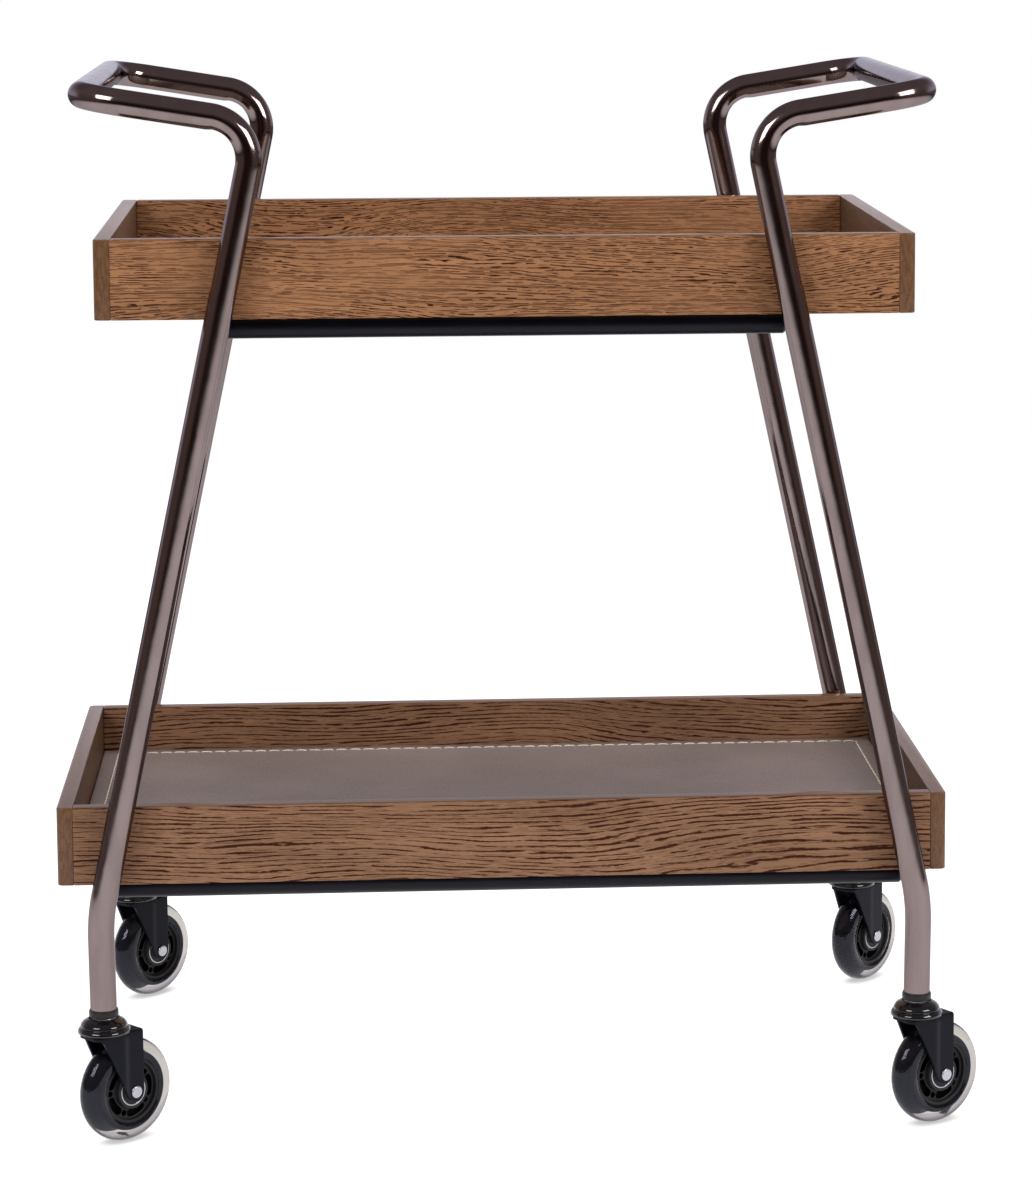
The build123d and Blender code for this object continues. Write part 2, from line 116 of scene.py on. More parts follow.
class BAR_CART_PG_caster(bpy.types.PropertyGroup):
    """Sizes of the casters."""

    wheel_diameter: length("Wheel diameter", "Diameter over the tyre", 0.076)
    wheel_width: length("Wheel width", "Width over the tyre", 0.020)
    rim_radius: length("Rim radius", "Radius of the hub's rim under the tyre", 0.024)
    rim_half_width: length("Rim half width", "Half the width of the rim", 0.0086)
    flange_radius: length("Flange radius", "Radius of the flange inside the tyre", 0.029)
    flange_half_width: length("Flange half width", "Half the width of the flange", 0.0065)
    dish_inner: length("Dish inner radius", "Radius of the boss at the dish", 0.013)
    dish_outer: length("Dish outer radius", "Radius of the dish", 0.0215)
    web_half: length("Web half thickness", "Half the thickness of the web", 0.005)
    windows: IntProperty(name="Windows", description="Long windows in a hub", default=5, min=3, max=9)
    window_radius: length("Window radius", "From the axle to the windows' middle", 0.0173)
    window_width: length("Window width", "Width of a long window", 0.006)
    window_angle: FloatProperty(name="Window angle", description="Sweep of a long window's middle line",
                                default=math.radians(34), subtype="ANGLE")
    small_window: length("Small window", "Diameter of the holes between the windows", 0.0044)
    window_depth: length("Window depth", "How deep the windows are sunk", 0.004)
    bearing_diameter: length("Bearing diameter", "Outside diameter of a ball bearing", 0.022)
    bearing_width: length("Bearing width", "Width of a ball bearing", 0.007)
    bearing_race: length("Bearing race", "Width of a bearing's bright races", 0.0012)
    axle_diameter: length("Axle diameter", "Diameter of the axle", 0.008)
    axle_head: length("Axle head", "Diameter of the axle's heads", 0.009)
    axle_head_height: length("Axle head height", "Height of the axle's heads", 0.0013)
    side_gap: length("Side gap", "From the wheel to a fork arm", 0.0014)
    sheet: length("Fork sheet", "Thickness of the fork's sheet", 0.002)
    front: length("Fork front", "From the swivel to the front of the fork", 0.015)
    narrowing: length("Fork narrowing", "How much narrower each side is at the front", 0.002)
    skirt: length("Fork skirt", "Height of the skirt at the front", 0.0032)
    arm_radius: length("Fork arm radius", "Round of an arm's end", 0.007)
    fold_lead: length("Fold lead", "From the axle forward to the fold in an arm", 0.0075)
    fold_round: length("Fold round", "Round of the folds seen from above", 0.005)
    # Painted highlight: how far from each fold the lighter coating colour reaches, standing in for the shine
    # on the folds.
    fold_highlight_reach: length("Rubbing", "How far from the folds the coating is rubbed", 0.0018)
    edge_round: length("Edge round", "Round between the plate and the sides", 0.0018)
    lead_start: length("Lead start", "From the front to where the skirt turns into an arm", 0.005)
    lead_round: length("Lead round", "Round where the skirt turns into an arm", 0.006)
    top_gap: length("Top gap", "From the wheel to the plate over it", 0.0056)
    cap_diameter: length("Cap diameter", "Diameter of the cap's rim", 0.038)
    cap_rim: length("Cap rim", "Height of the cap's rim", 0.0036)
    cap_shoulder: length("Cap shoulder", "Diameter of the step on the cap", 0.034)
    cap_recess: length("Cap recess", "Diameter of the recess round the stem's ring", 0.0215)
    cap_recess_depth: length("Cap recess depth", "Depth of the recess round the stem's ring", 0.0015)


class BAR_CART_PG_finish(bpy.types.PropertyGroup):
    """Colours of the finishes."""

    nickel: colour("Black nickel", "Plating on the tubes", (0.243, 0.192, 0.188))
    satin_black: colour("Satin black", "Paint on the rods and rails", (0.003, 0.003, 0.008))
    oak: colour("Oak", "Stained oak of the upper tray between the grain", (0.340, 0.163, 0.077))
    brown_oak: colour("Brown oak", "Stained oak of the lower tray between the grain", (0.262, 0.139, 0.079))
    oak_grain: colour("Oak grain", "Dark grain of the oak", (0.038, 0.009, 0.003))
    leather: colour("Leather", "Leather on the trays", (0.215, 0.173, 0.163))
    thread: colour("Thread", "Thread of the stitches", (0.860, 0.770, 0.600))
    fork: colour("Fork", "Coating on the forks", (0.004, 0.0045, 0.010))
    hub: colour("Hub", "Plastic of the hubs", (0.019, 0.018, 0.020))
    # Painted reflection: bluer than the hub plastic, for the navy sheen of the tyre over the rim.
    rim: colour("Rim", "Hub plastic under the tyres", (0.020, 0.021, 0.033))
    tyre: colour("Tyre", "Clear tyre", (0.560, 0.530, 0.505))
    collar: colour("Collar", "Plastic of the leg sockets", (0.014, 0.011, 0.012))


# Shapes

def rounded(corners, rounds, steps=6, closed=False):
    """Points along a run of corners, each corner rounded to its own radius."""
    corners = [Vector(corner) for corner in corners]
    last = len(corners) - 1
    points = []
    for i, (corner, radius) in enumerate(zip(corners, rounds)):
        if radius <= 0 or (not closed and i in (0, last)):
            points.append(corner)
            continue
        back = (corners[i - 1] - corner).normalized()
        ahead = (corners[(i + 1) % len(corners)] - corner).normalized()
        half = back.angle(ahead) / 2
        turn = math.pi - 2 * half
        centre = corner + (back + ahead).normalized() * (radius / math.sin(half))
        first = corner + back * (radius / math.tan(half)) - centre
        final = corner + ahead * (radius / math.tan(half)) - centre
        for step in range(steps + 1):
            part = step / steps
            swing = first * math.sin((1 - part) * turn) + final * math.sin(part * turn)
            points.append(centre + swing / math.sin(turn))
    return points


def divided(points, longest):
    """The same run of points with no step longer than asked."""
    result = [points[0]]
    for start, end in zip(points, points[1:]):
        count = max(1, math.ceil((end - start).length / longest))
        result += [start.lerp(end, i / count) for i in range(1, count + 1)]
    return result


def join_rings(bm, rings, closed=False, caps=True):
    """Faces between rings of corners that have the same count; a ring of one corner is a tip."""
    pairs = list(zip(rings, rings[1:]))
    if closed:
        pairs.append((rings[-1], rings[0]))
    for ring, after in pairs:
        count = max(len(ring), len(after))
        for i in range(count):
            j = (i + 1) % count
            corners = [ring[i % len(ring)], ring[j % len(ring)], after[j % len(after)], after[i % len(after)]]
            bm.faces.new(list(dict.fromkeys(corners)))
    if caps and not closed:
        for ring in (rings[0], rings[-1]):
            if len(ring) > 2:
                bm.faces.new(ring)


def turned(bm, profile, place=Matrix(), sides=64, closed=False):
    """A turned piece: points of (radius, height) taken round the height axis of its place."""
    rings = []
    for radius, height in profile:
        count = sides if radius > 1e-6 else 1
        ring = []
        for i in range(count):
            angle = math.tau * i / sides
            spot = Vector((radius * math.cos(angle), radius * math.sin(angle), height))
            ring.append(bm.verts.new(place @ spot))
        rings.append(ring)
    join_rings(bm, rings, closed=closed)


def swept(bm, path, radius_at, sides, closed=False):
    """A round section taken along a path, with a radius for each ring and direction."""
    rings = []
    across = None
    count = len(path)
    for i, point in enumerate(path):
        before = path[i - 1] if closed or i > 0 else point
        after = path[(i + 1) % count] if closed or i < count - 1 else point
        along = (after - before).normalized()
        across = across or along.orthogonal()
        across = (across - along * across.dot(along)).normalized()
        beside = along.cross(across)
        ring = []
        for side in range(sides):
            angle = math.tau * side / sides
            way = across * math.cos(angle) + beside * math.sin(angle)
            ring.append(bm.verts.new(point + way * radius_at(i, way)))
        rings.append(ring)
    join_rings(bm, rings, closed=closed)


def pillow_slab(bm, low, high, corner_rounds, top_round, under_round):
    """A board with rounded corners seen from above and rounded top and lower edges."""
    levels = []
    for step in range(5):
        angle = math.pi / 2 * step / 4
        levels.append((low.z + under_round * (1 - math.sin(angle)), under_round * (1 - math.cos(angle))))
    levels.reverse()
    for step in range(7):
        angle = math.pi / 2 * step / 6
        levels.append((high.z - top_round * (1 - math.sin(angle)), top_round * (1 - math.cos(angle))))
    rings = []
    for height, inset in levels:
        left, right = low.x + inset, high.x - inset
        front, rear = low.y + inset, high.y - inset
        corners = [(left, front), (right, front), (right, rear), (left, rear)]
        outline = rounded(corners, [max(r - inset, 5e-5) for r in corner_rounds], 5, closed=True)
        rings.append([bm.verts.new((x, y, height)) for x, y in outline])
    join_rings(bm, rings)


def along_axis(origin, axis, start=None):
    """A place whose height axis follows a direction."""
    axis = Vector(axis).normalized()
    start = Vector(start) if start else axis.orthogonal()
    start = (start - axis * start.dot(axis)).normalized()
    side = axis.cross(start)
    place = Matrix((start, side, axis)).transposed().to_4x4()
    place.translation = origin
    return place


def applied(obj):
    """The mesh of an object with its modifiers applied; the object is removed."""
    depsgraph = bpy.context.evaluated_depsgraph_get()
    mesh = bpy.data.meshes.new_from_object(obj.evaluated_get(depsgraph))
    bpy.data.objects.remove(obj)
    return mesh


def mesh_from(name, bm):
    """A mesh from corners and faces, with its faces turned outwards."""
    bmesh.ops.recalc_face_normals(bm, faces=bm.faces)
    mesh = bpy.data.meshes.new(name)
    bm.to_mesh(mesh)
    bm.free()
    return mesh


def loose(name, mesh):
    """An object in the scene that isn't yet a piece."""
    obj = bpy.data.objects.new(name, mesh)
    bpy.context.scene.collection.objects.link(obj)
    return obj


def piece(name, mesh, materials, body, nodes, place=Matrix(), sharp=35):
    """A finished piece that rides on a body and stands for solids of the frame."""
    mesh.transform(place)
    for material in materials:
        mesh.materials.append(material)
    mesh.shade_smooth()
    mesh.set_sharp_from_angle(angle=math.radians(sharp))
    obj = loose(name, mesh)
    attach(obj, body)
    if nodes:
        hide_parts(*nodes)
    return obj


# Finishes

class FinishNodes:
    """Adds and links the nodes of one material or world."""

    def __init__(self, owner):
        self.owner = owner
        owner.use_nodes = True
        self.tree = owner.node_tree
        self.tree.nodes.clear()

    def add(self, kind, inputs, **settings):
        """A node with its settings, values and links."""
        node = self.tree.nodes.new(kind)
        for key, value in settings.items():
            setattr(node, key, value)
        for key, value in inputs.items():
            if isinstance(value, bpy.types.NodeSocket):
                self.tree.links.new(value, node.inputs[key])
            else:
                node.inputs[key].default_value = value
        return node

    def spot(self):
        """Where a point lies on the piece, in metres."""
        return self.add("ShaderNodeTexCoord", {}).outputs["Object"]

    def scaled(self, vector, scale):
        """A vector with each part multiplied."""
        return self.add("ShaderNodeVectorMath", {0: vector, 1: scale}, operation="MULTIPLY").outputs[0]

    def sum(self, operation, first, second):
        """Arithmetic on two values."""
        return self.add("ShaderNodeMath", {0: first, 1: second}, operation=operation).outputs[0]

    def noise(self, vector, scale, detail=2.0, roughness=0.5):
        """Cloudy values from 0 to 1."""
        inputs = {"Vector": vector, "Scale": scale, "Detail": detail, "Roughness": roughness}
        return self.add("ShaderNodeTexNoise", inputs).outputs["Fac"]

    def span(self, value, low, high, to_low=0.0, to_high=1.0):
        """A value eased from one range to another."""
        inputs = {"Value": value, "From Min": low, "From Max": high, "To Min": to_low, "To Max": to_high}
        return self.add("ShaderNodeMapRange", inputs, interpolation_type="SMOOTHSTEP").outputs[0]

    def tint(self, factor, first, second):
        """A colour between two colours."""
        inputs = {0: factor, 6: first, 7: second}
        return self.add("ShaderNodeMix", inputs, data_type="RGBA").outputs[2]

    def bump(self, height, distance, strength=1.0):
        """Relief from a height."""
        inputs = {"Height": height, "Distance": distance, "Strength": strength}
        return self.add("ShaderNodeBump", inputs).outputs[0]

    def surface(self, inputs):
        """The finished surface."""
        shader = self.add("ShaderNodeBsdfPrincipled", inputs)
        self.add("ShaderNodeOutputMaterial", {"Surface": shader.outputs[0]})
        return self.owner


def shade(rgb, factor=1.0):
    """A colour for a node, made lighter or darker."""
    return (min(rgb[0] * factor, 1), min(rgb[1] * factor, 1), min(rgb[2] * factor, 1), 1)


def finish(name):
    """A finish by its name, made the first time it is asked for."""
    title = f"{name}_finish"
    made = bpy.data.materials.get(title)
    if made:
        return made
    return FINISHES[name](FinishNodes(bpy.data.materials.new(title)), bpy.context.scene.bar_cart_finish)


def black_nickel(make, colours):
    """Dark plating with polishing haze and a faint drawn waviness."""
    spot = make.spot()
    haze = make.noise(make.scaled(spot, (1, 1, 0.2)), 90, 4)
    fine = make.noise(spot, 1400, 2)
    wave = make.noise(spot, 55, 1)
    relief = make.sum("ADD", wave, make.sum("MULTIPLY", fine, 0.02))
    plating = make.tint(make.span(haze, 0.35, 0.7), shade(colours.nickel), shade(colours.nickel, 0.88))
    return make.surface({
        "Base Color": plating,
        "Metallic": 1.0,
        "Specular Tint": (0.62, 0.60, 0.66, 1),
        "Roughness": make.span(make.sum("ADD", haze, make.sum("MULTIPLY", fine, 0.3)), 0.4, 0.9, 0.07, 0.15),
        "Normal": make.bump(relief, 0.00025, 0.35),
    })


def satin_black(make, colours):
    """Powder paint with a faint orange peel."""
    spot = make.spot()
    peel = make.noise(spot, 700, 2)
    patch = make.noise(spot, 30, 3)
    return make.surface({
        "Base Color": make.tint(patch, shade(colours.satin_black, 0.8), shade(colours.satin_black, 1.4)),
        "Specular IOR Level": 0.2,
        "Roughness": make.span(patch, 0.3, 0.7, 0.34, 0.46),
        "Normal": make.bump(peel, 0.0001, 0.5),
    })


def fork_coat(make, colours):
    """Satin coating on pressed sheet, painted lighter along the folds as a highlight."""
    spot = make.spot()
    patch = make.noise(spot, 60, 4)
    fine = make.noise(spot, 1600, 2)
    fold_highlight = make.add("ShaderNodeAttribute", {}, attribute_name="fold_highlight").outputs["Fac"]
    coat = make.tint(patch, shade(colours.fork, 0.85), shade(colours.fork, 1.25))
    return make.surface({
        # Painted highlight: the coating colour is made lighter along the folds, for their shine.
        "Base Color": make.tint(fold_highlight, coat, (0.020, 0.020, 0.026, 1)),
        "Specular IOR Level": 0.12,
        "Roughness": make.span(patch, 0.3, 0.7, 0.30, 0.42),
        "Normal": make.bump(fine, 0.00006, 0.5),
    })


def gloss_black(make, colours):
    """Polished black plastic with fine handling marks."""
    spot = make.spot()
    marks = make.noise(make.scaled(spot, (1, 1, 4)), 500, 5, 0.7)
    return make.surface({
        "Base Color": make.tint(marks, (0.002, 0.002, 0.004, 1), (0.004, 0.004, 0.006, 1)),
        "Roughness": make.span(marks, 0.4, 0.75, 0.05, 0.12),
        "Coat Weight": 0.5,
        "Coat Roughness": 0.06,
        "Normal": make.bump(marks, 0.00001, 0.3),
    })


def moulded_plastic(make, rgb, rough, gloss=0.3):
    """Moulded plastic with a fine spark texture."""
    spot = make.spot()
    spark = make.noise(spot, 1800, 2)
    patch = make.noise(spot, 120, 3)
    return make.surface({
        "Base Color": make.tint(patch, shade(rgb, 0.75), shade(rgb, 1.3)),
        "Specular IOR Level": gloss,
        "Roughness": make.span(spark, 0.3, 0.7, rough - 0.06, rough + 0.08),
        "Normal": make.bump(spark, 0.00003, 0.4),
    })


def hub_plastic(make, colours):
    """Moulded plastic of the hubs."""
    return moulded_plastic(make, colours.hub, 0.42, 0.16)


def rim_plastic_and_sheen(make, colours):
    """Hub plastic where the tyre is cast on it, which leaves no gloss; tinted bluer than the hub as a painted
    reflection of the tyre's sheen.
    """
    return moulded_plastic(make, colours.rim, 0.5, 0.03)


def window_painted_shade(make, colours):
    """Rough hub plastic down in the windows, painted much darker as shade, as in deep holes."""
    return moulded_plastic(make, shade(colours.hub, 0.15), 0.6, 0.05)


def socket_plastic(make, colours):
    """Moulded plastic of the leg sockets."""
    return moulded_plastic(make, colours.collar, 0.42)


def bright_steel(make, rough, tone):
    """Turned steel with fine rings left by the tool."""
    spot = make.spot()
    rings = make.noise(make.scaled(spot, (1, 1, 9)), 900, 3)
    patch = make.noise(spot, 150, 3)
    return make.surface({
        "Base Color": make.tint(patch, (tone, tone, tone * 1.12, 1), (tone * 0.9, tone * 0.9, tone, 1)),
        "Metallic": 1.0,
        "Roughness": make.span(rings, 0.3, 0.7, rough, rough + 0.14),
        "Normal": make.bump(rings, 0.00004, 0.5),
    })


def seal_rubber(make, colours):
    """Black rubber of the bearings' seals."""
    return moulded_plastic(make, colours.hub, 0.55)


def plated_steel(make, colours):
    """Bright plated steel of stems, axles, washers and screws."""
    return bright_steel(make, 0.24, 0.52)


def bearing_steel(make, colours):
    """Ground steel of the bearings."""
    return bright_steel(make, 0.12, 0.42)


def clear_tyre(make, colours):
    """Clear cast tyre with a slightly satin tread."""
    spot = make.spot()
    cloud = make.noise(spot, 70, 3)
    fine = make.noise(spot, 1200, 2)
    return make.surface({
        "Base Color": make.tint(cloud, shade(colours.tyre), shade(colours.tyre, 0.95)),
        "Roughness": make.span(cloud, 0.3, 0.7, 0.06, 0.10),
        "IOR": 1.49,
        "Specular Tint": (0.55, 0.57, 0.72, 1),
        "Transmission Weight": 1.0,
        "Normal": make.bump(fine, 0.000002, 0.3),
    })


def oak(make, colours, rgb, along, line_gap, lined, flecked, coat=0.0):
    """Stained open oak: wandering ragged grain lines, short flecks in clusters and slow changes of tone."""
    parts = make.add("ShaderNodeSeparateXYZ", {0: make.spot()}).outputs
    run, across, height = parts["X"], parts["Y"], parts["Z"]
    if along == "Y":
        run, across = across, run
    grain = make.add("ShaderNodeCombineXYZ", {0: run, 1: across, 2: height}).outputs[0]

    def cloud(run_scale, cross_scale, detail):
        """Cloudy values drawn out along the grain."""
        return make.noise(make.scaled(grain, (run_scale, cross_scale, cross_scale)), 1, detail, 0.55)

    def swing(value, size):
        """Cloudy values made to swing about nought."""
        return make.sum("MULTIPLY", make.sum("SUBTRACT", value, 0.5), size)

    sweep = make.sum("ADD", swing(cloud(5, 34, 4), 0.018), swing(cloud(3.2, 7, 1), 0.065))
    level = make.sum("ADD", make.sum("ADD", height, make.sum("MULTIPLY", across, 0.45)), sweep)
    ring = make.sum("PINGPONG", make.sum("DIVIDE", level, line_gap), 0.5)
    ragged = make.sum("ADD", swing(cloud(30, 300, 3), 0.30), swing(cloud(300, 1500, 2), 0.25))
    ring = make.sum("ADD", make.sum("ADD", ring, ragged), swing(cloud(6, 18, 1), 0.25))
    broken = make.span(cloud(34, 1 / line_gap, 3), 0.40, 0.48)
    lines = make.sum("MULTIPLY", make.span(ring, 0.10, 0.18, 1, 0), broken)
    rows = make.sum("DIVIDE", make.sum("ADD", level, swing(cloud(45, 420, 2), 0.0022)), 0.45 * line_gap)
    rows = make.span(make.sum("PINGPONG", rows, 0.5), 0.14, 0.24, 1, 0)
    clusters = make.span(cloud(9, 45, 2), 0.34, 0.54, 0.5, 1)
    dashes = make.sum("MULTIPLY", make.span(cloud(100, 640, 1), 0.45, 0.48), clusters)
    flecks = make.sum("MULTIPLY", rows, dashes)
    dark = make.sum("MAXIMUM", make.sum("MULTIPLY", lines, lined), make.sum("MULTIPLY", flecks, flecked))
    tone = make.tint(make.span(cloud(9, 260, 4), 0.3, 0.7), shade(rgb, 0.9), shade(rgb, 1.1))
    tone = make.tint(make.span(cloud(5, 22, 2), 0.35, 0.75), tone, shade(rgb, 0.78))
    return make.surface({
        "Base Color": make.tint(dark, tone, shade(colours.oak_grain)),
        "Roughness": make.span(dark, 0, 1, 0.42, 0.60),
        "Specular IOR Level": 0.1,
        "Normal": make.bump(make.sum("SUBTRACT", 1.0, dark), 0.00018, 0.6),
        "Coat Weight": coat,
        "Coat Roughness": 0.22,
    })


def oak_upper(make, colours):
    """Finely flecked oak of the upper tray's long boards."""
    return oak(make, colours, shade(colours.oak, 0.97), "X", 0.0036, 0.5, 1.0)


def oak_lower(make, colours):
    """Boldly lined oak of the lower tray's long boards."""
    return oak(make, colours, colours.brown_oak, "X", 0.0035, 1.0, 0.45)


def oak_end_board_painted_shade(make, colours):
    """Oak of the end boards, which run front to rear, darkened all over as painted shade for their inner
    faces.
    """
    return oak(make, colours, shade(colours.brown_oak, 0.45), "Y", 0.0036, 0.25, 0.3)


def oak_long_rim(make, colours):
    """Lacquered top edges of the long boards."""
    return oak(make, colours, shade(colours.brown_oak, 0.6), "X", 0.0046, 0.1, 0.1, coat=0.45)


def oak_end_rim(make, colours):
    """Lacquered top edges of the end boards."""
    return oak(make, colours, shade(colours.brown_oak, 0.6), "Y", 0.0046, 0.1, 0.1, coat=0.65)


def oak_end_grain(make, colours):
    """Sawn end grain: warm, with pores as specks."""
    spot = make.spot()
    specks = make.span(make.noise(spot, 1500, 2), 0.58, 0.68)
    arcs = make.noise(make.scaled(spot, (500, 60, 130)), 1, 3)
    tone = make.tint(make.span(arcs, 0.3, 0.7), shade(colours.oak, 0.30), shade(colours.oak, 0.48))
    return make.surface({
        "Base Color": make.tint(make.sum("MULTIPLY", specks, 0.7), tone, shade(colours.oak_grain)),
        "Roughness": make.span(specks, 0, 1, 0.42, 0.60),
        "Normal": make.bump(make.sum("SUBTRACT", 1.0, specks), 0.00015, 0.5),
        "Specular IOR Level": 0.1,
        "Coat Weight": 0.4,
        "Coat Roughness": 0.22,
    })


def plywood(make, colours):
    """Raw veneer under the trays."""
    spot = make.spot()
    figure = make.noise(make.scaled(spot, (4, 90, 90)), 1, 4, 0.6)
    pores = make.span(make.noise(make.scaled(spot, (120, 1600, 1600)), 1, 2), 0.58, 0.7)
    tone = make.tint(make.span(figure, 0.3, 0.7), (0.36, 0.25, 0.15, 1), (0.50, 0.37, 0.24, 1))
    return make.surface({
        "Base Color": make.tint(make.sum("MULTIPLY", pores, 0.5), tone, (0.2, 0.12, 0.07, 1)),
        "Roughness": make.span(figure, 0.3, 0.7, 0.6, 0.75),
        "Normal": make.bump(make.sum("SUBTRACT", 1.0, pores), 0.00012, 0.5),
    })


def leather(make, colours):
    """Taupe leather with a pebbled grain and cloudy tone."""
    spot = make.spot()
    cells = {"Vector": spot, "Scale": 850, "Randomness": 1.0}
    pebbles = make.add("ShaderNodeTexVoronoi", cells).outputs["Distance"]
    fine = make.noise(spot, 2600, 3)
    cloud = make.noise(spot, 9, 4, 0.6)
    creases = make.span(pebbles, 0.45, 0.8)
    tone = make.tint(make.span(cloud, 0.3, 0.7), shade(colours.leather, 0.9), shade(colours.leather, 1.1))
    relief = make.sum("SUBTRACT", make.sum("MULTIPLY", fine, 0.4), pebbles)
    return make.surface({
        "Base Color": make.tint(make.sum("MULTIPLY", creases, 0.25), tone, shade(colours.leather, 0.55)),
        "Roughness": make.span(creases, 0, 1, 0.46, 0.60),
        "Normal": make.bump(relief, 0.00012, 0.55),
    })


def thread(make, colours):
    """Twisted waxed thread."""
    spot = make.spot()
    twist = make.add("ShaderNodeTexWave", {"Vector": spot, "Scale": 260.0, "Distortion": 1.5},
                     bands_direction="DIAGONAL").outputs["Fac"]
    return make.surface({
        "Base Color": make.tint(twist, shade(colours.thread, 0.7), shade(colours.thread)),
        "Roughness": make.span(twist, 0, 1, 0.6, 0.75),
        "Normal": make.bump(twist, 0.0001, 0.5),
    })


def studio_floor(make, colours):
    """Pale paper that glows as painted light, bright near the cart and dim far from it, with painted contact
    shadows only close to the pieces.
    """
    spot = make.spot()
    fibre = make.noise(spot, 30, 3)
    reach = make.add("ShaderNodeVectorMath", {0: spot}, operation="LENGTH").outputs["Value"]
    far = make.span(reach, 1.3, 4.0)
    paper = make.tint(fibre, (0.29, 0.29, 0.29, 1), (0.31, 0.31, 0.31, 1))
    painted_contact_shadow = make.add("ShaderNodeAmbientOcclusion", {"Distance": 0.03}, samples=16).outputs["AO"]
    by_camera = make.add("ShaderNodeLightPath", {}).outputs["Is Camera Ray"]
    # Painted light: the floor glows, brightest near the cart. For camera rays the glow is dimmed by ambient
    # occlusion close to the pieces as a painted contact shadow.
    glow = make.span(far, 0, 1, 0.85, 0.05)
    shown = make.span(painted_contact_shadow, 0.25, 0.75, 0.50, 1.0)
    return make.surface({
        "Base Color": make.tint(far, paper, (0.04, 0.04, 0.04, 1)),
        "Roughness": 0.9,
        "Specular IOR Level": 0.0,
        "Emission Color": (1, 1, 1, 1),
        "Emission Strength": make.add("ShaderNodeMix", {0: by_camera, 2: glow, 3: shown}).outputs[0],
    })


FINISHES = {
    make_finish.__name__: make_finish
    for make_finish in (
        black_nickel, satin_black, fork_coat, gloss_black,
        hub_plastic, rim_plastic_and_sheen, window_painted_shade, socket_plastic, seal_rubber,
        plated_steel, bearing_steel, clear_tyre,
        oak_upper, oak_lower, oak_end_board_painted_shade, oak_long_rim, oak_end_rim, oak_end_grain,
        plywood, leather, thread, studio_floor,
    )
}


# Places on the frame

def middle(node):
    """Centre of a solid's box."""
    low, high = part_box(node)
    return (low + high) / 2


def joint(name):
    """A joint of the frame by its name."""
    return next(item for item in frame["joints"] if item["name"] == name)


def caster_turn(caster):
    """Angle from the cart's width to the way a caster trails."""
    axis = joint(f"{caster}_roll")["axis"]
    return math.atan2(-axis[0], axis[1])


def swivel_place(caster):
    """A place on the floor under a caster's swivel, with its first axis the way that the wheel trails."""
    x, y, _ = joint(f"{caster}_swivel")["pos_m"]
    return Matrix.Translation((x, y, 0)) @ Matrix.Rotation(caster_turn(caster), 4, "Z")


def wheel_place(caster):
    """A place at a wheel's centre, with its height axis along the axle."""
    roll = joint(f"{caster}_roll")
    trail = swivel_place(caster).to_3x3().col[0]
    return along_axis(Vector(roll["pos_m"]), roll["axis"], trail)


def leg_axis(sizes, height):
    """Distance from the cart's middle to a leg's axis on its leaning stretch."""
    lean = (sizes.knee_x - sizes.shoulder_x) / (sizes.shoulder_z - sizes.knee_z)
    return sizes.knee_x - lean * (height - sizes.knee_z)


def tube_line(sizes, side):
    """Corners of one tube's centre line: up the front leg, round the handle and down the rear leg."""
    low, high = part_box("left_frame_tube")
    leg_y = high.y - sizes.tube_diameter / 2
    front = [
        (side * sizes.foot_x, -leg_y, low.z),
        (side * sizes.knee_x, -leg_y, sizes.knee_z),
        (side * sizes.shoulder_x, -leg_y, sizes.shoulder_z),
        (side * sizes.grip_x, -leg_y, sizes.grip_z),
    ]
    return front + [(x, -y, z) for x, y, z in reversed(front)]


# Frame

class BAR_CART_OT_frame_tubes(bpy.types.Operator):
    """Bend the two frame tubes, flattened inside the shoulders where they were bent"""

    bl_idname = "bar_cart.frame_tubes"
    bl_label = "Frame tubes"

    def execute(self, context):
        sizes = context.scene.bar_cart_frame
        bends = [sizes.knee_radius, sizes.shoulder_radius, sizes.grip_radius]
        radius = sizes.tube_diameter / 2
        longest_step = 0.002
        for name, side in SIDES.items():
            corners = [Vector(corner) for corner in tube_line(sizes, side)]
            path = divided(rounded(corners, [0] + bends + bends[::-1] + [0], 24), longest_step)
            shoulders = [self.shoulder(sizes, *run) for run in (corners[1:4], corners[6:3:-1])]

            def radius_at(i, way):
                return radius - max(self.flattened(sizes, path[i], way, *bend) for bend in shoulders)

            bm = bmesh.new()
            swept(bm, path, radius_at, 48)
            mesh = mesh_from(f"bent_tube_{name}", bm)
            piece(mesh.name, mesh, [finish("black_nickel")], "frame", [f"{name}_frame_tube"])
        return {"FINISHED"}

    def shoulder(self, sizes, knee, corner, grip):
        """Where a shoulder bend begins on the arm, the way along the arm and the way to the bend's inside."""
        arm = (grip - corner).normalized()
        leg = (knee - corner).normalized()
        half = arm.angle(leg) / 2
        start = corner + arm * (sizes.shoulder_radius / math.tan(half))
        return start, arm, (arm + leg).normalized()

    def flattened(self, sizes, spot, way, start, arm, inside):
        """How far the tube is flattened at a spot: at once where the bend begins, fading down the leg."""
        early, ramp, reach = 0.002, 0.006, 1.6
        if (spot - start).length > 4 * sizes.shoulder_radius:
            return 0
        along = (start - spot).dot(arm)
        begun = min(max((along + early) / ramp, 0), 1)
        fading = min(max(reach - along / sizes.shoulder_radius, 0), 1)
        return sizes.flattening * begun * fading * max(0, way.dot(inside)) ** 2


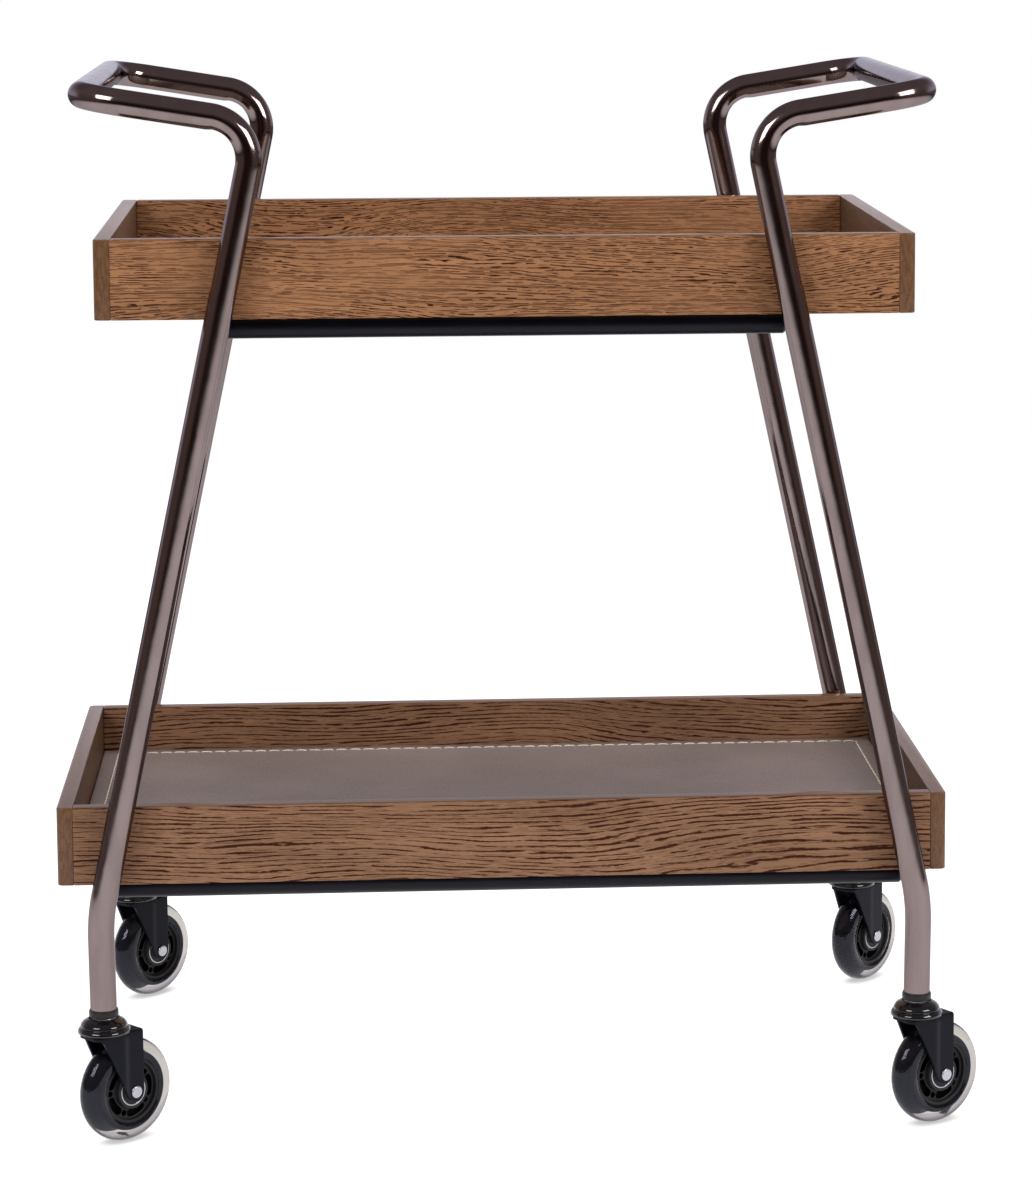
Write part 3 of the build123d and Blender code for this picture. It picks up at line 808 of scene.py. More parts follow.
class BAR_CART_OT_frame_stubs(bpy.types.Operator):
    """Weld the plated stubs to the legs and drive the tray screws up through them"""

    bl_idname = "bar_cart.frame_stubs"
    bl_label = "Stubs and screws"

    def execute(self, context):
        sizes = context.scene.bar_cart_frame
        tube = sizes.tube_diameter / 2
        leg_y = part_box("left_frame_tube")[1].y - tube
        sides, end_round = 40, 0.0005
        stubs = bmesh.new()
        screws = bmesh.new()

        def bead_radius(i, way):
            """A weld's radius, a little uneven along the bead."""
            return sizes.weld * (1 + 0.15 * math.sin(i * 2.2))

        for tray in TRAYS:
            for side_name, side in SIDES.items():
                rod_low, rod_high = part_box(f"{tray}_{side_name}_rod")
                height = (rod_low.z + rod_high.z) / 2
                radius = (rod_high.z - rod_low.z) / 2
                x = side * leg_axis(sizes, height)
                for depth_name, depth in DEPTHS.items():
                    start = Vector((x, depth * leg_y, height))
                    end = leg_y - rod_high.y
                    place = along_axis(start, (0, -depth, 0), UP)
                    profile = rounded([(0, 0), (radius, 0), (radius, end), (0, end)], [0, 0, end_round, 0], 3)
                    turned(stubs, profile, place, sides)
                    bead = []
                    for i in range(sides):
                        angle = math.tau * i / sides
                        out, aside = radius * math.cos(angle), radius * math.sin(angle)
                        bead.append(place @ Vector((out, aside, math.sqrt(tube ** 2 - aside ** 2))))
                    swept(stubs, bead, bead_radius, 8, closed=True)
                    board_y = middle(f"{tray}_tray_{depth_name}_board").y
                    self.add_screw(screws, sizes, Vector((x, board_y, height - radius)))
        mesh = mesh_from("plated_stubs", stubs)
        piece(mesh.name, mesh, [finish("black_nickel")], "frame", ["frame_stubs"])
        mesh = mesh_from("tray_screw_set", screws)
        piece(mesh.name, mesh, [finish("plated_steel")], "frame", ["tray_screws"], sharp=25)
        return {"FINISHED"}

    def add_screw(self, bm, sizes, spot):
        """A pan head screw, head down, with a cross marked on its head by two thin bars."""
        head, shank = sizes.screw_head / 2, 0.002
        under, seat, taper, tip = -0.0005, 0.0019, 0.030, 0.034
        place = Matrix.Translation(spot)
        corners = [(0, under), (head, under), (head, seat), (shank, seat), (shank, taper), (0, tip)]
        turned(bm, rounded(corners, [0, 0.0008, 0.0003, 0, 0.0005, 0], 4), place, 32)
        reach, half = 0.55 * head, 0.0004
        outline = [(-reach, -half), (reach, -half), (reach, half), (-reach, half)]
        levels = (-0.00056, 0.0008)
        for turn in (0, math.pi / 2):
            bar = place @ Matrix.Rotation(turn, 4, "Z")
            rings = [[bm.verts.new(bar @ Vector((x, y, level))) for x, y in outline] for level in levels]
            join_rings(bm, rings)


class BAR_CART_OT_rods_and_rails(bpy.types.Operator):
    """Make the black rods between the stubs and the rails across them"""

    bl_idname = "bar_cart.rods_and_rails"
    bl_label = "Rods and rails"

    def execute(self, context):
        rod_round, rail_round = 0.0005, 0.0025
        for tray in TRAYS:
            for side in SIDES:
                self.bar(f"{tray}_{side}_rod", (0, 1, 0), rod_round)
            for depth in DEPTHS:
                self.bar(f"{tray}_{depth}_rail", (1, 0, 0), rail_round)
        return {"FINISHED"}

    def bar(self, node, axis, end_round):
        """A round bar with eased ends, in the place of a solid."""
        low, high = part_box(node)
        axis = Vector(axis)
        radius = (high.z - low.z) / 2
        half = (high - low).dot(axis) / 2
        profile = [(0, -half), (radius, -half), (radius, half), (0, half)]
        bm = bmesh.new()
        turned(bm, rounded(profile, [0, end_round, end_round, 0]), along_axis((low + high) / 2, axis), 48)
        mesh = mesh_from(f"{node}_bar", bm)
        piece(mesh.name, mesh, [finish("satin_black")], "frame", [node])


# Trays

class BAR_CART_OT_tray_boards(bpy.types.Operator):
    """Cut the oak boards of both trays and the panels between them"""

    bl_idname = "bar_cart.tray_boards"
    bl_label = "Tray boards and panels"

    def execute(self, context):
        sizes = context.scene.bar_cart_tray
        for tray in TRAYS:
            for depth in DEPTHS:
                node = f"{tray}_tray_{depth}_board"
                low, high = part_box(node)
                bm = bmesh.new()
                pillow_slab(bm, low, high, [sizes.seam_round] * 4, sizes.top_round, sizes.seam_round)
                mesh = mesh_from(f"{tray}_{depth}_oak_board", bm)
                for face in mesh.polygons:
                    face.material_index = int(face.normal.z > TOP_FACING)
                finishes = [finish(f"oak_{tray}"), finish("oak_long_rim")]
                piece(mesh.name, mesh, finishes, "frame", [node])
            for name, side in SIDES.items():
                node = f"{tray}_tray_{name}_end_board"
                low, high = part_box(node)
                outer, seam = sizes.corner_round, sizes.seam_round
                corners = [outer, seam, seam, outer] if side < 0 else [seam, outer, outer, seam]
                bm = bmesh.new()
                pillow_slab(bm, low, high, corners, sizes.top_round, seam)
                mesh = mesh_from(f"{tray}_{name}_oak_end", bm)
                for face in mesh.polygons:
                    sawn = abs(face.normal.y) > 0.3
                    face.material_index = 2 if face.normal.z > TOP_FACING else int(sawn)
                # The end boards' sides take the oak darkened as painted shade.
                finishes = [finish("oak_end_board_painted_shade"), finish("oak_end_grain"), finish("oak_end_rim")]
                piece(mesh.name, mesh, finishes, "frame", [node])
            self.panel(tray, sizes)
        return {"FINISHED"}

    def panel(self, tray, sizes):
        """The panel, as far as it shows between the boards."""
        low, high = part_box(f"{tray}_tray_panel")
        low.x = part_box(f"{tray}_tray_left_end_board")[1].x
        high.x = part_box(f"{tray}_tray_right_end_board")[0].x
        low.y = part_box(f"{tray}_tray_front_board")[1].y
        high.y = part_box(f"{tray}_tray_rear_board")[0].y
        bm = bmesh.new()
        pillow_slab(bm, low, high, [sizes.seam_round] * 4, sizes.seam_round, sizes.seam_round)
        mesh = mesh_from(f"{tray}_plywood_panel", bm)
        piece(mesh.name, mesh, [finish("plywood")], "frame", [f"{tray}_tray_panel"])


class BAR_CART_OT_leather_pads(bpy.types.Operator):
    """Lay the leather in the trays and sew round its edges"""

    bl_idname = "bar_cart.leather_pads"
    bl_label = "Leather and stitches"

    def execute(self, context):
        sizes = context.scene.bar_cart_tray
        for tray in TRAYS:
            low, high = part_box(f"{tray}_tray_leather")
            pad = self.pad(tray, sizes, low, high)
            stitches = self.stitches(tray, sizes, low, high)
        return {"FINISHED"}

    def levels(self, start, end, sizes):
        """Rows of the pad: close together at its rolled edges and at the stitches."""
        roll = [0.0, 0.0001, 0.0003, 0.0006, 0.001, 0.0016, 0.003]
        beside = [0.0006, 0.0012, 0.002, 0.004]
        shifts = [-shift for shift in reversed(beside)] + [0] + beside
        edge = roll + [sizes.stitch_inset + shift for shift in shifts]
        inner = end - start - 2 * edge[-1]
        count = round(inner / (sizes.stitch_pitch / 4))
        rows = [start + shift for shift in edge]
        rows += [start + edge[-1] + inner * i / count for i in range(1, count)]
        return rows + [end - shift for shift in reversed(edge)]

    def pad(self, tray, sizes, low, high):
        """Leather with rolled edges, pulled in along the stitches."""
        columns = self.levels(low.x, high.x, sizes)
        rows = self.levels(low.y, high.y, sizes)
        edge_round, pull_width = 0.001, 0.0013
        sunk, swell_height, swell_start = 0.0002, 0.00015, 0.02
        bm = bmesh.new()
        top = []
        for y in rows:
            line = []
            for x in columns:
                edge = min(x - low.x, high.x - x, y - low.y, high.y - y)
                along_x = min(y - low.y, high.y - y) < min(x - low.x, high.x - x)
                run = (x - low.x) if along_x else (y - low.y)
                drop = edge_round - math.sqrt(max(0, edge_round ** 2 - max(0, edge_round - edge) ** 2))
                pull = math.exp(-((edge - sizes.stitch_inset) / pull_width) ** 2)
                hole = 0.6 + 0.4 * math.cos(math.tau * run / sizes.stitch_pitch)
                swell = swell_height * math.sin(41 * x + 3) * math.sin(33 * y + 1)
                inside = min(1, edge / swell_start)
                height = high.z - sunk - drop - sizes.pucker * pull * hole + swell * inside
                line.append(bm.verts.new((x, y, height)))
            top.append(line)
        for front, rear in zip(top, top[1:]):
            for i in range(len(columns) - 1):
                bm.faces.new((front[i], front[i + 1], rear[i + 1], rear[i]))
        right = [line[-1] for line in top[1:-1]]
        left = [line[0] for line in top[-2:0:-1]]
        border = top[0] + right + top[-1][::-1] + left
        under = [bm.verts.new((corner.co.x, corner.co.y, low.z)) for corner in border]
        join_rings(bm, [border, under], caps=False)
        bm.faces.new(under)
        mesh = mesh_from(f"{tray}_leather_pad", bm)
        nodes = [f"{tray}_tray_leather"]
        return piece(mesh.name, mesh, [finish("leather")], "frame", nodes, sharp=60)

    def stitches(self, tray, sizes, low, high):
        """A row of stitches along each edge, each one arched and a little askew."""
        dice = random.Random(tray)
        most_askew, arch_height = 0.00025, 0.0009
        inset = sizes.stitch_inset
        corners = [
            Vector((low.x + inset, low.y + inset, high.z)),
            Vector((high.x - inset, low.y + inset, high.z)),
            Vector((high.x - inset, high.y - inset, high.z)),
            Vector((low.x + inset, high.y - inset, high.z)),
        ]
        bm = bmesh.new()
        for start, end in zip(corners, corners[1:] + corners[:1]):
            count = round((end - start).length / sizes.stitch_pitch)
            step = (end - start) / count
            along = step.normalized()
            across = along.cross(UP)
            for i in range(count):
                centre = start + step * (i + 0.5)
                askew = dice.uniform(-most_askew, most_askew)
                path = []
                for k in range(9):
                    part = k / 8 * 2 - 1
                    arch = (1 - part ** 4) * arch_height - arch_height
                    reach = along * (part * sizes.stitch_length / 2)
                    path.append(centre + reach + across * (askew * part) + UP * arch)
                swept(bm, path, lambda k, way: sizes.thread / 2 * (1 - 0.35 * abs(k / 4 - 1) ** 3), 8)
        mesh = mesh_from(f"{tray}_leather_stitches", bm)
        return piece(mesh.name, mesh, [finish("thread")], "frame", [])


# Casters and their sockets

class BAR_CART_OT_leg_sockets(bpy.types.Operator):
    """Push the plastic sockets into the feet of the legs"""

    bl_idname = "bar_cart.leg_sockets"
    bl_label = "Leg sockets"

    def execute(self, context):
        sizes = context.scene.bar_cart_frame
        low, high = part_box("leg_sockets")
        radius = sizes.tube_diameter / 2
        collar = high.y - (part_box("left_frame_tube")[1].y - radius)
        foot_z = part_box("left_frame_tube")[0].z
        height = foot_z - low.z
        bore, plug = 0.0055, radius - 0.0016
        neck, neck_z = collar - 0.0004, -0.0012
        corners = [
            (bore, -height), (collar, -height), (collar, neck_z), (neck, neck_z + 0.0003),
            (neck, 0), (plug, 0), (plug, 0.026), (bore, 0.028),
        ]
        rounds = [0.0002, 0.0008, 0.0003, 0.0001, 0.0003, 0, 0.0005, 0.0005]
        profile = rounded(corners, rounds, 4, closed=True)
        bm = bmesh.new()
        for side in SIDES.values():
            line = tube_line(sizes, side)
            for foot, knee in ((line[0], line[1]), (line[-1], line[-2])):
                place = along_axis(Vector(foot), Vector(knee) - Vector(foot))
                turned(bm, profile, place, 48, closed=True)
        mesh = mesh_from("foot_collars", bm)
        piece(mesh.name, mesh, [finish("socket_plastic")], "frame", ["leg_sockets"])
        return {"FINISHED"}


class BAR_CART_OT_caster_tops(bpy.types.Operator):
    """Turn the casters' stems and caps"""

    bl_idname = "bar_cart.caster_tops"
    bl_label = "Caster stems and caps"

    def execute(self, context):
        sizes = context.scene.bar_cart_caster
        for caster in CASTERS:
            place = swivel_place(caster)
            low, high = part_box(f"{caster}_caster_cap")
            bore = 0.00515
            rim_z = low.z + sizes.cap_rim
            seat_z = high.z - sizes.cap_recess_depth
            rim = sizes.cap_diameter / 2
            shoulder = sizes.cap_shoulder / 2
            recess = sizes.cap_recess / 2
            lower_tier = [(rim, low.z), (rim - 0.0003, low.z + 0.0020), (rim - 0.0013, rim_z - 0.0003)]
            upper_tier = [
                (shoulder - 0.0008, rim_z), (shoulder, rim_z + 0.0011), (shoulder - 0.0004, rim_z + 0.0026),
                (shoulder - 0.0021, high.z - 0.0019), (recess + 0.0006, high.z),
            ]
            seat = [(recess, high.z), (recess, seat_z), (bore, seat_z)]
            corners = [(bore, low.z)] + lower_tier + upper_tier + seat
            lower_rounds = [0.0003, 0.0022, 0.0004]
            upper_rounds = [0.0002, 0.0006, 0.0026, 0.0026, 0.0005]
            rounds = [0] + lower_rounds + upper_rounds + [0.0002, 0.0002, 0]
            bm = bmesh.new()
            turned(bm, rounded(corners, rounds, 6, closed=True), place, 96, closed=True)
            mesh = mesh_from(f"{caster}_swivel_cap", bm)
            piece(mesh.name, mesh, [finish("gloss_black")], "frame", [f"{caster}_caster_cap"])
            bm = bmesh.new()
            self.stem(bm, place, seat_z, *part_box(f"{caster}_caster_stem"))
            mesh = mesh_from(f"{caster}_stem_pin", bm)
            piece(mesh.name, mesh, [finish("plated_steel")], "frame", [f"{caster}_caster_stem"])
        return {"FINISHED"}

    def stem(self, bm, place, ring_z, low, high):
        """A pin with a bright ring, and a shank headed over below the fork."""
        ring = (high.x - low.x) / 2
        ring_top = ring_z + 0.0026
        head, shank, pin, tip = 0.007, 0.005, 0.0055, 0.002
        head_z = low.z + 0.002
        profile = [
            (0, low.z), (head, low.z), (head, head_z), (shank, head_z), (shank, ring_z), (ring, ring_z),
            (ring, ring_top), (pin, ring_top), (pin, high.z - tip), (pin - tip, high.z), (0, high.z),
        ]
        rounds = [0, 0.0006, 0.0003, 0, 0, 0.0008, 0.0008, 0, 0, 0, 0]
        turned(bm, rounded(profile, rounds, 5), place, 64)


class BAR_CART_OT_caster_forks(bpy.types.Operator):
    """Press the casters' forks from sheet"""

    bl_idname = "bar_cart.caster_forks"
    bl_label = "Caster forks"

    def execute(self, context):
        sizes = context.scene.bar_cart_caster
        pressed = self.pressed(sizes)
        for caster in CASTERS:
            nodes = [f"{caster}_caster_fork"]
            piece(f"{caster}_pressed_fork", pressed.copy(), [finish("fork_coat")], f"{caster}_fork",
                  nodes, swivel_place(caster), sharp=50)
        bpy.data.meshes.remove(pressed)
        return {"FINISHED"}

    def pressed(self, sizes):
        """The fork's outer skin, given the sheet's thickness inwards."""
        trail, wheel = self.trail(), sizes.wheel_diameter / 2
        half = sizes.wheel_width / 2 + sizes.side_gap + sizes.sheet
        narrow = half - sizes.narrowing
        rear = trail + sizes.arm_radius
        fold = trail - sizes.fold_lead
        top = sizes.wheel_diameter + sizes.top_gap + sizes.sheet
        lower = self.lower_edge(sizes, trail, wheel, top)
        corners = [(rear, -half), (fold, -half), (-sizes.front, -narrow)]
        corners += [(x, -y) for x, y in reversed(corners)]
        longest_step = 0.0009
        outline = divided(rounded(corners, [0] + [sizes.fold_round] * 4 + [0], 8), longest_step)
        bend = sizes.edge_round
        bm = bmesh.new()
        columns = []
        for i, spot in enumerate(outline):
            before = outline[max(i - 1, 0)]
            after = outline[min(i + 1, len(outline) - 1)]
            run = (after - before).normalized()
            inward = Vector((run.y, -run.x))
            if inward.dot(Vector((trail / 2, 0)) - spot) < 0:
                inward = -inward
            foot = self.edge_height(lower, spot.x)
            column = []
            for step in range(13):
                height = foot + (top - bend - foot) * step / 12
                column.append(bm.verts.new((spot.x, spot.y, height)))
            for step in range(1, 6):
                angle = math.pi / 2 * step / 5
                x, y = spot + inward * bend * (1 - math.cos(angle))
                column.append(bm.verts.new((min(x, rear), y, top - bend + bend * math.sin(angle))))
            columns.append(column)
        for column, after in zip(columns, columns[1:]):
            for k in range(len(column) - 1):
                bm.faces.new((column[k], after[k], after[k + 1], column[k + 1]))
        bm.faces.new([column[-1] for column in columns])
        mesh = self.thickened(sizes, loose("fork_skin", mesh_from("fork_skin", bm)))
        # Painted highlight along the folds: a lighter coating colour that fades with distance from each fold.
        fold_highlight = mesh.attributes.new("fold_highlight", "FLOAT", "POINT")
        for corner, value in zip(mesh.vertices, fold_highlight.data):
            if corner.co.z < top - bend:
                value.value = math.exp(-((corner.co.x - fold) / sizes.fold_highlight_reach) ** 2)
        return mesh

    def thickened(self, sizes, skin):
        """The mesh of a skin given the sheet's thickness, with eased edges."""
        thicken = skin.modifiers.new("sheet", "SOLIDIFY")
        thicken.thickness = sizes.sheet
        thicken.offset = -1
        ease = skin.modifiers.new("edges", "BEVEL")
        ease.width = 0.00035
        ease.segments = 2
        ease.limit_method = "ANGLE"
        ease.angle_limit = math.radians(50)
        return applied(skin)

    def trail(self):
        """How far a wheel's axle lies behind its swivel."""
        swivel = Vector(joint("front_left_swivel")["pos_m"])
        axle = Vector(joint("front_left_roll")["pos_m"])
        return (axle - swivel).to_2d().length

    def lower_edge(self, sizes, trail, wheel, top):
        """Lower edge of the fork seen from the side, from its front to behind the axle."""
        skirt_z = top - sizes.skirt
        start = Vector((sizes.lead_start - sizes.front, skirt_z))
        to_axle = Vector((trail, wheel)) - start
        angle = math.atan2(to_axle.y, to_axle.x) - math.asin(sizes.arm_radius / to_axle.length)
        reach = math.sqrt(to_axle.length ** 2 - sizes.arm_radius ** 2)
        end = start + reach * Vector((math.cos(angle), math.sin(angle)))
        line = rounded([(-sizes.front, skirt_z), start, end], [0, sizes.lead_round, 0], 6)
        first = math.atan2(end.y - wheel, end.x - trail)
        for step in range(1, 25):
            sweep = first - first * step / 24
            x = trail + sizes.arm_radius * math.cos(sweep)
            line.append(Vector((x, wheel + sizes.arm_radius * math.sin(sweep))))
        return line

    def edge_height(self, line, reach):
        """Height of the lower edge at a distance along the fork."""
        for start, end in zip(line, line[1:]):
            if start.x <= reach <= end.x:
                part = (reach - start.x) / max(end.x - start.x, 1e-9)
                return start.y + (end.y - start.y) * part
        return line[-1].y if reach > line[-1].x else line[0].y


class BAR_CART_OT_caster_axles(bpy.types.Operator):
    """Rivet the casters' axles and fit their washers"""

    bl_idname = "bar_cart.caster_axles"
    bl_label = "Caster axles"

    def execute(self, context):
        sizes = context.scene.bar_cart_caster
        face = sizes.wheel_width / 2
        arm = face + sizes.side_gap + sizes.sheet
        end = arm + sizes.axle_head_height
        head, pin = sizes.axle_head / 2, sizes.axle_diameter / 2
        dimple = end - 0.0001
        half = [(0, dimple), (0.0012, dimple), (0.0022, end), (head, end), (head, arm), (pin, arm)]
        profile = half + [(r, -h) for r, h in reversed(half)]
        eased = [0, 0, 0.0006, 0.0009, 0.0002, 0]
        play = 0.0001
        inner, outer = pin + play, 0.00625
        near, far = face + play, arm - sizes.sheet
        washer = [(inner, near), (outer, near), (outer, far), (inner, far)]
        for caster in CASTERS:
            place = wheel_place(caster)
            body, steel = f"{caster}_fork", [finish("plated_steel")]
            bm = bmesh.new()
            turned(bm, rounded(profile, eased + eased[::-1], 6), Matrix(), 48)
            piece(f"{caster}_axle_rivet", mesh_from("axle", bm), steel, body,
                  [f"{caster}_caster_axle"], place)
            bm = bmesh.new()
            for way in (-1, 1):
                ring = [(r, way * h) for r, h in washer]
                turned(bm, rounded(ring, [0.0002] * 4, 2, closed=True), Matrix(), 40, closed=True)
            piece(f"{caster}_axle_spacers", mesh_from("spacers", bm), steel, body,
                  [f"{caster}_caster_washers"], place)
        return {"FINISHED"}


class BAR_CART_OT_caster_wheels(bpy.types.Operator):
    """Make the wheels: windowed hubs, ball bearings and clear tyres"""

    bl_idname = "bar_cart.caster_wheels"
    bl_label = "Caster wheels"

    def execute(self, context):
        sizes = context.scene.bar_cart_caster
        hub = self.hub(sizes)
        tyre = self.tyre(sizes)
        bearings = self.bearings(sizes)
        for caster in CASTERS:
            place = wheel_place(caster)
            body = f"{caster}_wheel"
            hub_finishes = [finish("hub_plastic"), finish("rim_plastic_and_sheen"), finish("window_painted_shade")]
            piece(f"{caster}_windowed_hub", hub.copy(), hub_finishes, body,
                  [f"{caster}_caster_hub"], place, sharp=40)
            piece(f"{caster}_clear_tyre", tyre.copy(), [finish("clear_tyre")], body,
                  [f"{caster}_caster_tyre"], place, sharp=60)
            bearing_finishes = [finish("bearing_steel"), finish("seal_rubber")]
            piece(f"{caster}_ball_bearings", bearings.copy(), bearing_finishes, body,
                  [f"{caster}_caster_bearings"], place)
        for mesh in (hub, tyre, bearings):
            bpy.data.meshes.remove(mesh)
        return {"FINISHED"}

    def hub(self, sizes):
        """A moulded hub with a flange, a dished web and windows sunk in both sides."""
        face = sizes.wheel_width / 2
        seat = sizes.bearing_diameter / 2
        seat_end = face - sizes.bearing_width
        bore = 0.006
        half = [(bore, seat_end), (seat, seat_end), (seat, face), (sizes.dish_inner, face),
                (sizes.dish_inner, sizes.web_half), (sizes.dish_outer, sizes.web_half),
                (sizes.dish_outer, sizes.rim_half_width), (sizes.rim_radius, sizes.rim_half_width),
                (sizes.rim_radius, sizes.flange_half_width), (sizes.flange_radius, sizes.flange_half_width)]
        eased = [0, 0, 0.0003, 0.0006, 0.0012, 0.0012, 0.0005, 0.0005, 0.0004, 0.0004]
        profile = half + [(r, -h) for r, h in reversed(half)]
        bm = bmesh.new()
        turned(bm, rounded(profile, eased + eased[::-1], 4, closed=True), Matrix(), 120, closed=True)
        hub = loose("hub_blank", mesh_from("hub_blank", bm))
        bm = bmesh.new()
        for i in range(sizes.windows):
            turn = math.tau * i / sizes.windows
            for way in (-1, 1):
                levels = (way * (sizes.web_half - sizes.window_depth), way * face)
                self.cutter(bm, self.long_window(sizes, turn), levels)
                self.cutter(bm, self.small_window(sizes, turn + math.pi / sizes.windows), levels)
        tool = loose("hub_windows", mesh_from("hub_windows", bm))
        cut = hub.modifiers.new("windows", "BOOLEAN")
        cut.operation = "DIFFERENCE"
        cut.solver = "EXACT"
        cut.object = tool
        mesh = applied(hub)
        bpy.data.objects.remove(tool)
        margin = 0.0001
        for side in mesh.polygons:
            reach = side.center.to_2d().length
            sunk = abs(side.center.z) < sizes.web_half - margin
            in_window = sunk and sizes.dish_inner < reach < sizes.dish_outer
            # Faces sunk in the windows take the hub plastic darkened as painted shade.
            side.material_index = 2 if in_window else int(reach > sizes.rim_radius - margin)
        return mesh

    def cutter(self, bm, outline, levels):
        """An outline taken from one level to another."""
        join_rings(bm, [[bm.verts.new((x, y, height)) for x, y in outline] for height in levels])

    def long_window(self, sizes, turn):
        """A bean-shaped window with round ends."""
        half = sizes.window_width / 2
        sweep = sizes.window_angle / 2
        points = []
        for radius, start, end in ((sizes.window_radius + half, turn - sweep, turn + sweep),
                                   (sizes.window_radius - half, turn + sweep, turn - sweep)):
            points += self.arc(Vector((0, 0)), radius, start, end, 12)
            centre = sizes.window_radius * Vector((math.cos(end), math.sin(end)))
            first = end if radius > sizes.window_radius else end + math.pi
            points += self.arc(centre, half, first, first + math.pi, 8)[1:-1]
        return points

    def arc(self, centre, radius, start, end, steps):
        """Points along part of a circle."""
        angles = [start + (end - start) * k / steps for k in range(steps + 1)]
        return [centre + radius * Vector((math.cos(a), math.sin(a))) for a in angles]

    def small_window(self, sizes, turn):
        """A round hole between two long windows."""
        centre = sizes.window_radius * Vector((math.cos(turn), math.sin(turn)))
        return self.arc(centre, sizes.small_window / 2, 0, math.tau, 24)[:-1]

    def tyre(self, sizes):
        """A round tread over the rim and flange; it reaches a little into the hub, as a cast tyre does."""
        tread = sizes.wheel_width / 2
        centre = sizes.wheel_diameter / 2 - tread
        bond = 0.00015
        inner = sizes.rim_radius - bond
        end = math.acos((inner - centre) / tread)
        profile = []
        for step in range(41):
            angle = end - 2 * end * step / 40
            profile.append(Vector((centre + tread * math.cos(angle), tread * math.sin(angle))))
        groove = sizes.flange_half_width - bond
        profile += [Vector(p) for p in ((inner, -groove), (sizes.flange_radius - bond, -groove),
                                        (sizes.flange_radius - bond, groove), (inner, groove))]
        bm = bmesh.new()
        turned(bm, profile, Matrix(), 120, closed=True)
        return mesh_from("tyre", bm)

    def bearings(self, sizes):
        """Two bearings, each with an outer race, a sunk seal and an inner race."""
        face = sizes.wheel_width / 2
        outer = sizes.bearing_diameter / 2
        back = face - sizes.bearing_width
        bore = sizes.axle_diameter / 2 + 0.00005
        seal_inner, seal_outer = bore + sizes.bearing_race, outer - sizes.bearing_race
        seal = face - 0.0005
        profile = [
            (bore, back), (outer, back), (outer, face), (seal_outer, face), (seal_outer, seal),
            (seal_inner, seal), (seal_inner, face), (bore, face),
        ]
        eased = [0, 0, 0.0004, 0.0003, 0.0002, 0.0002, 0.0003, 0.0003]
        bm = bmesh.new()
        for way in (-1, 1):
            ring = [(r, way * h) for r, h in profile]
            turned(bm, rounded(ring, eased, 3, closed=True), Matrix(), 72, closed=True)
        mesh = mesh_from("bearings", bm)
        for side in mesh.polygons:
            reach = side.center.to_2d().length
            side.material_index = int(seal_inner < reach < seal_outer)
        return mesh


# Studio

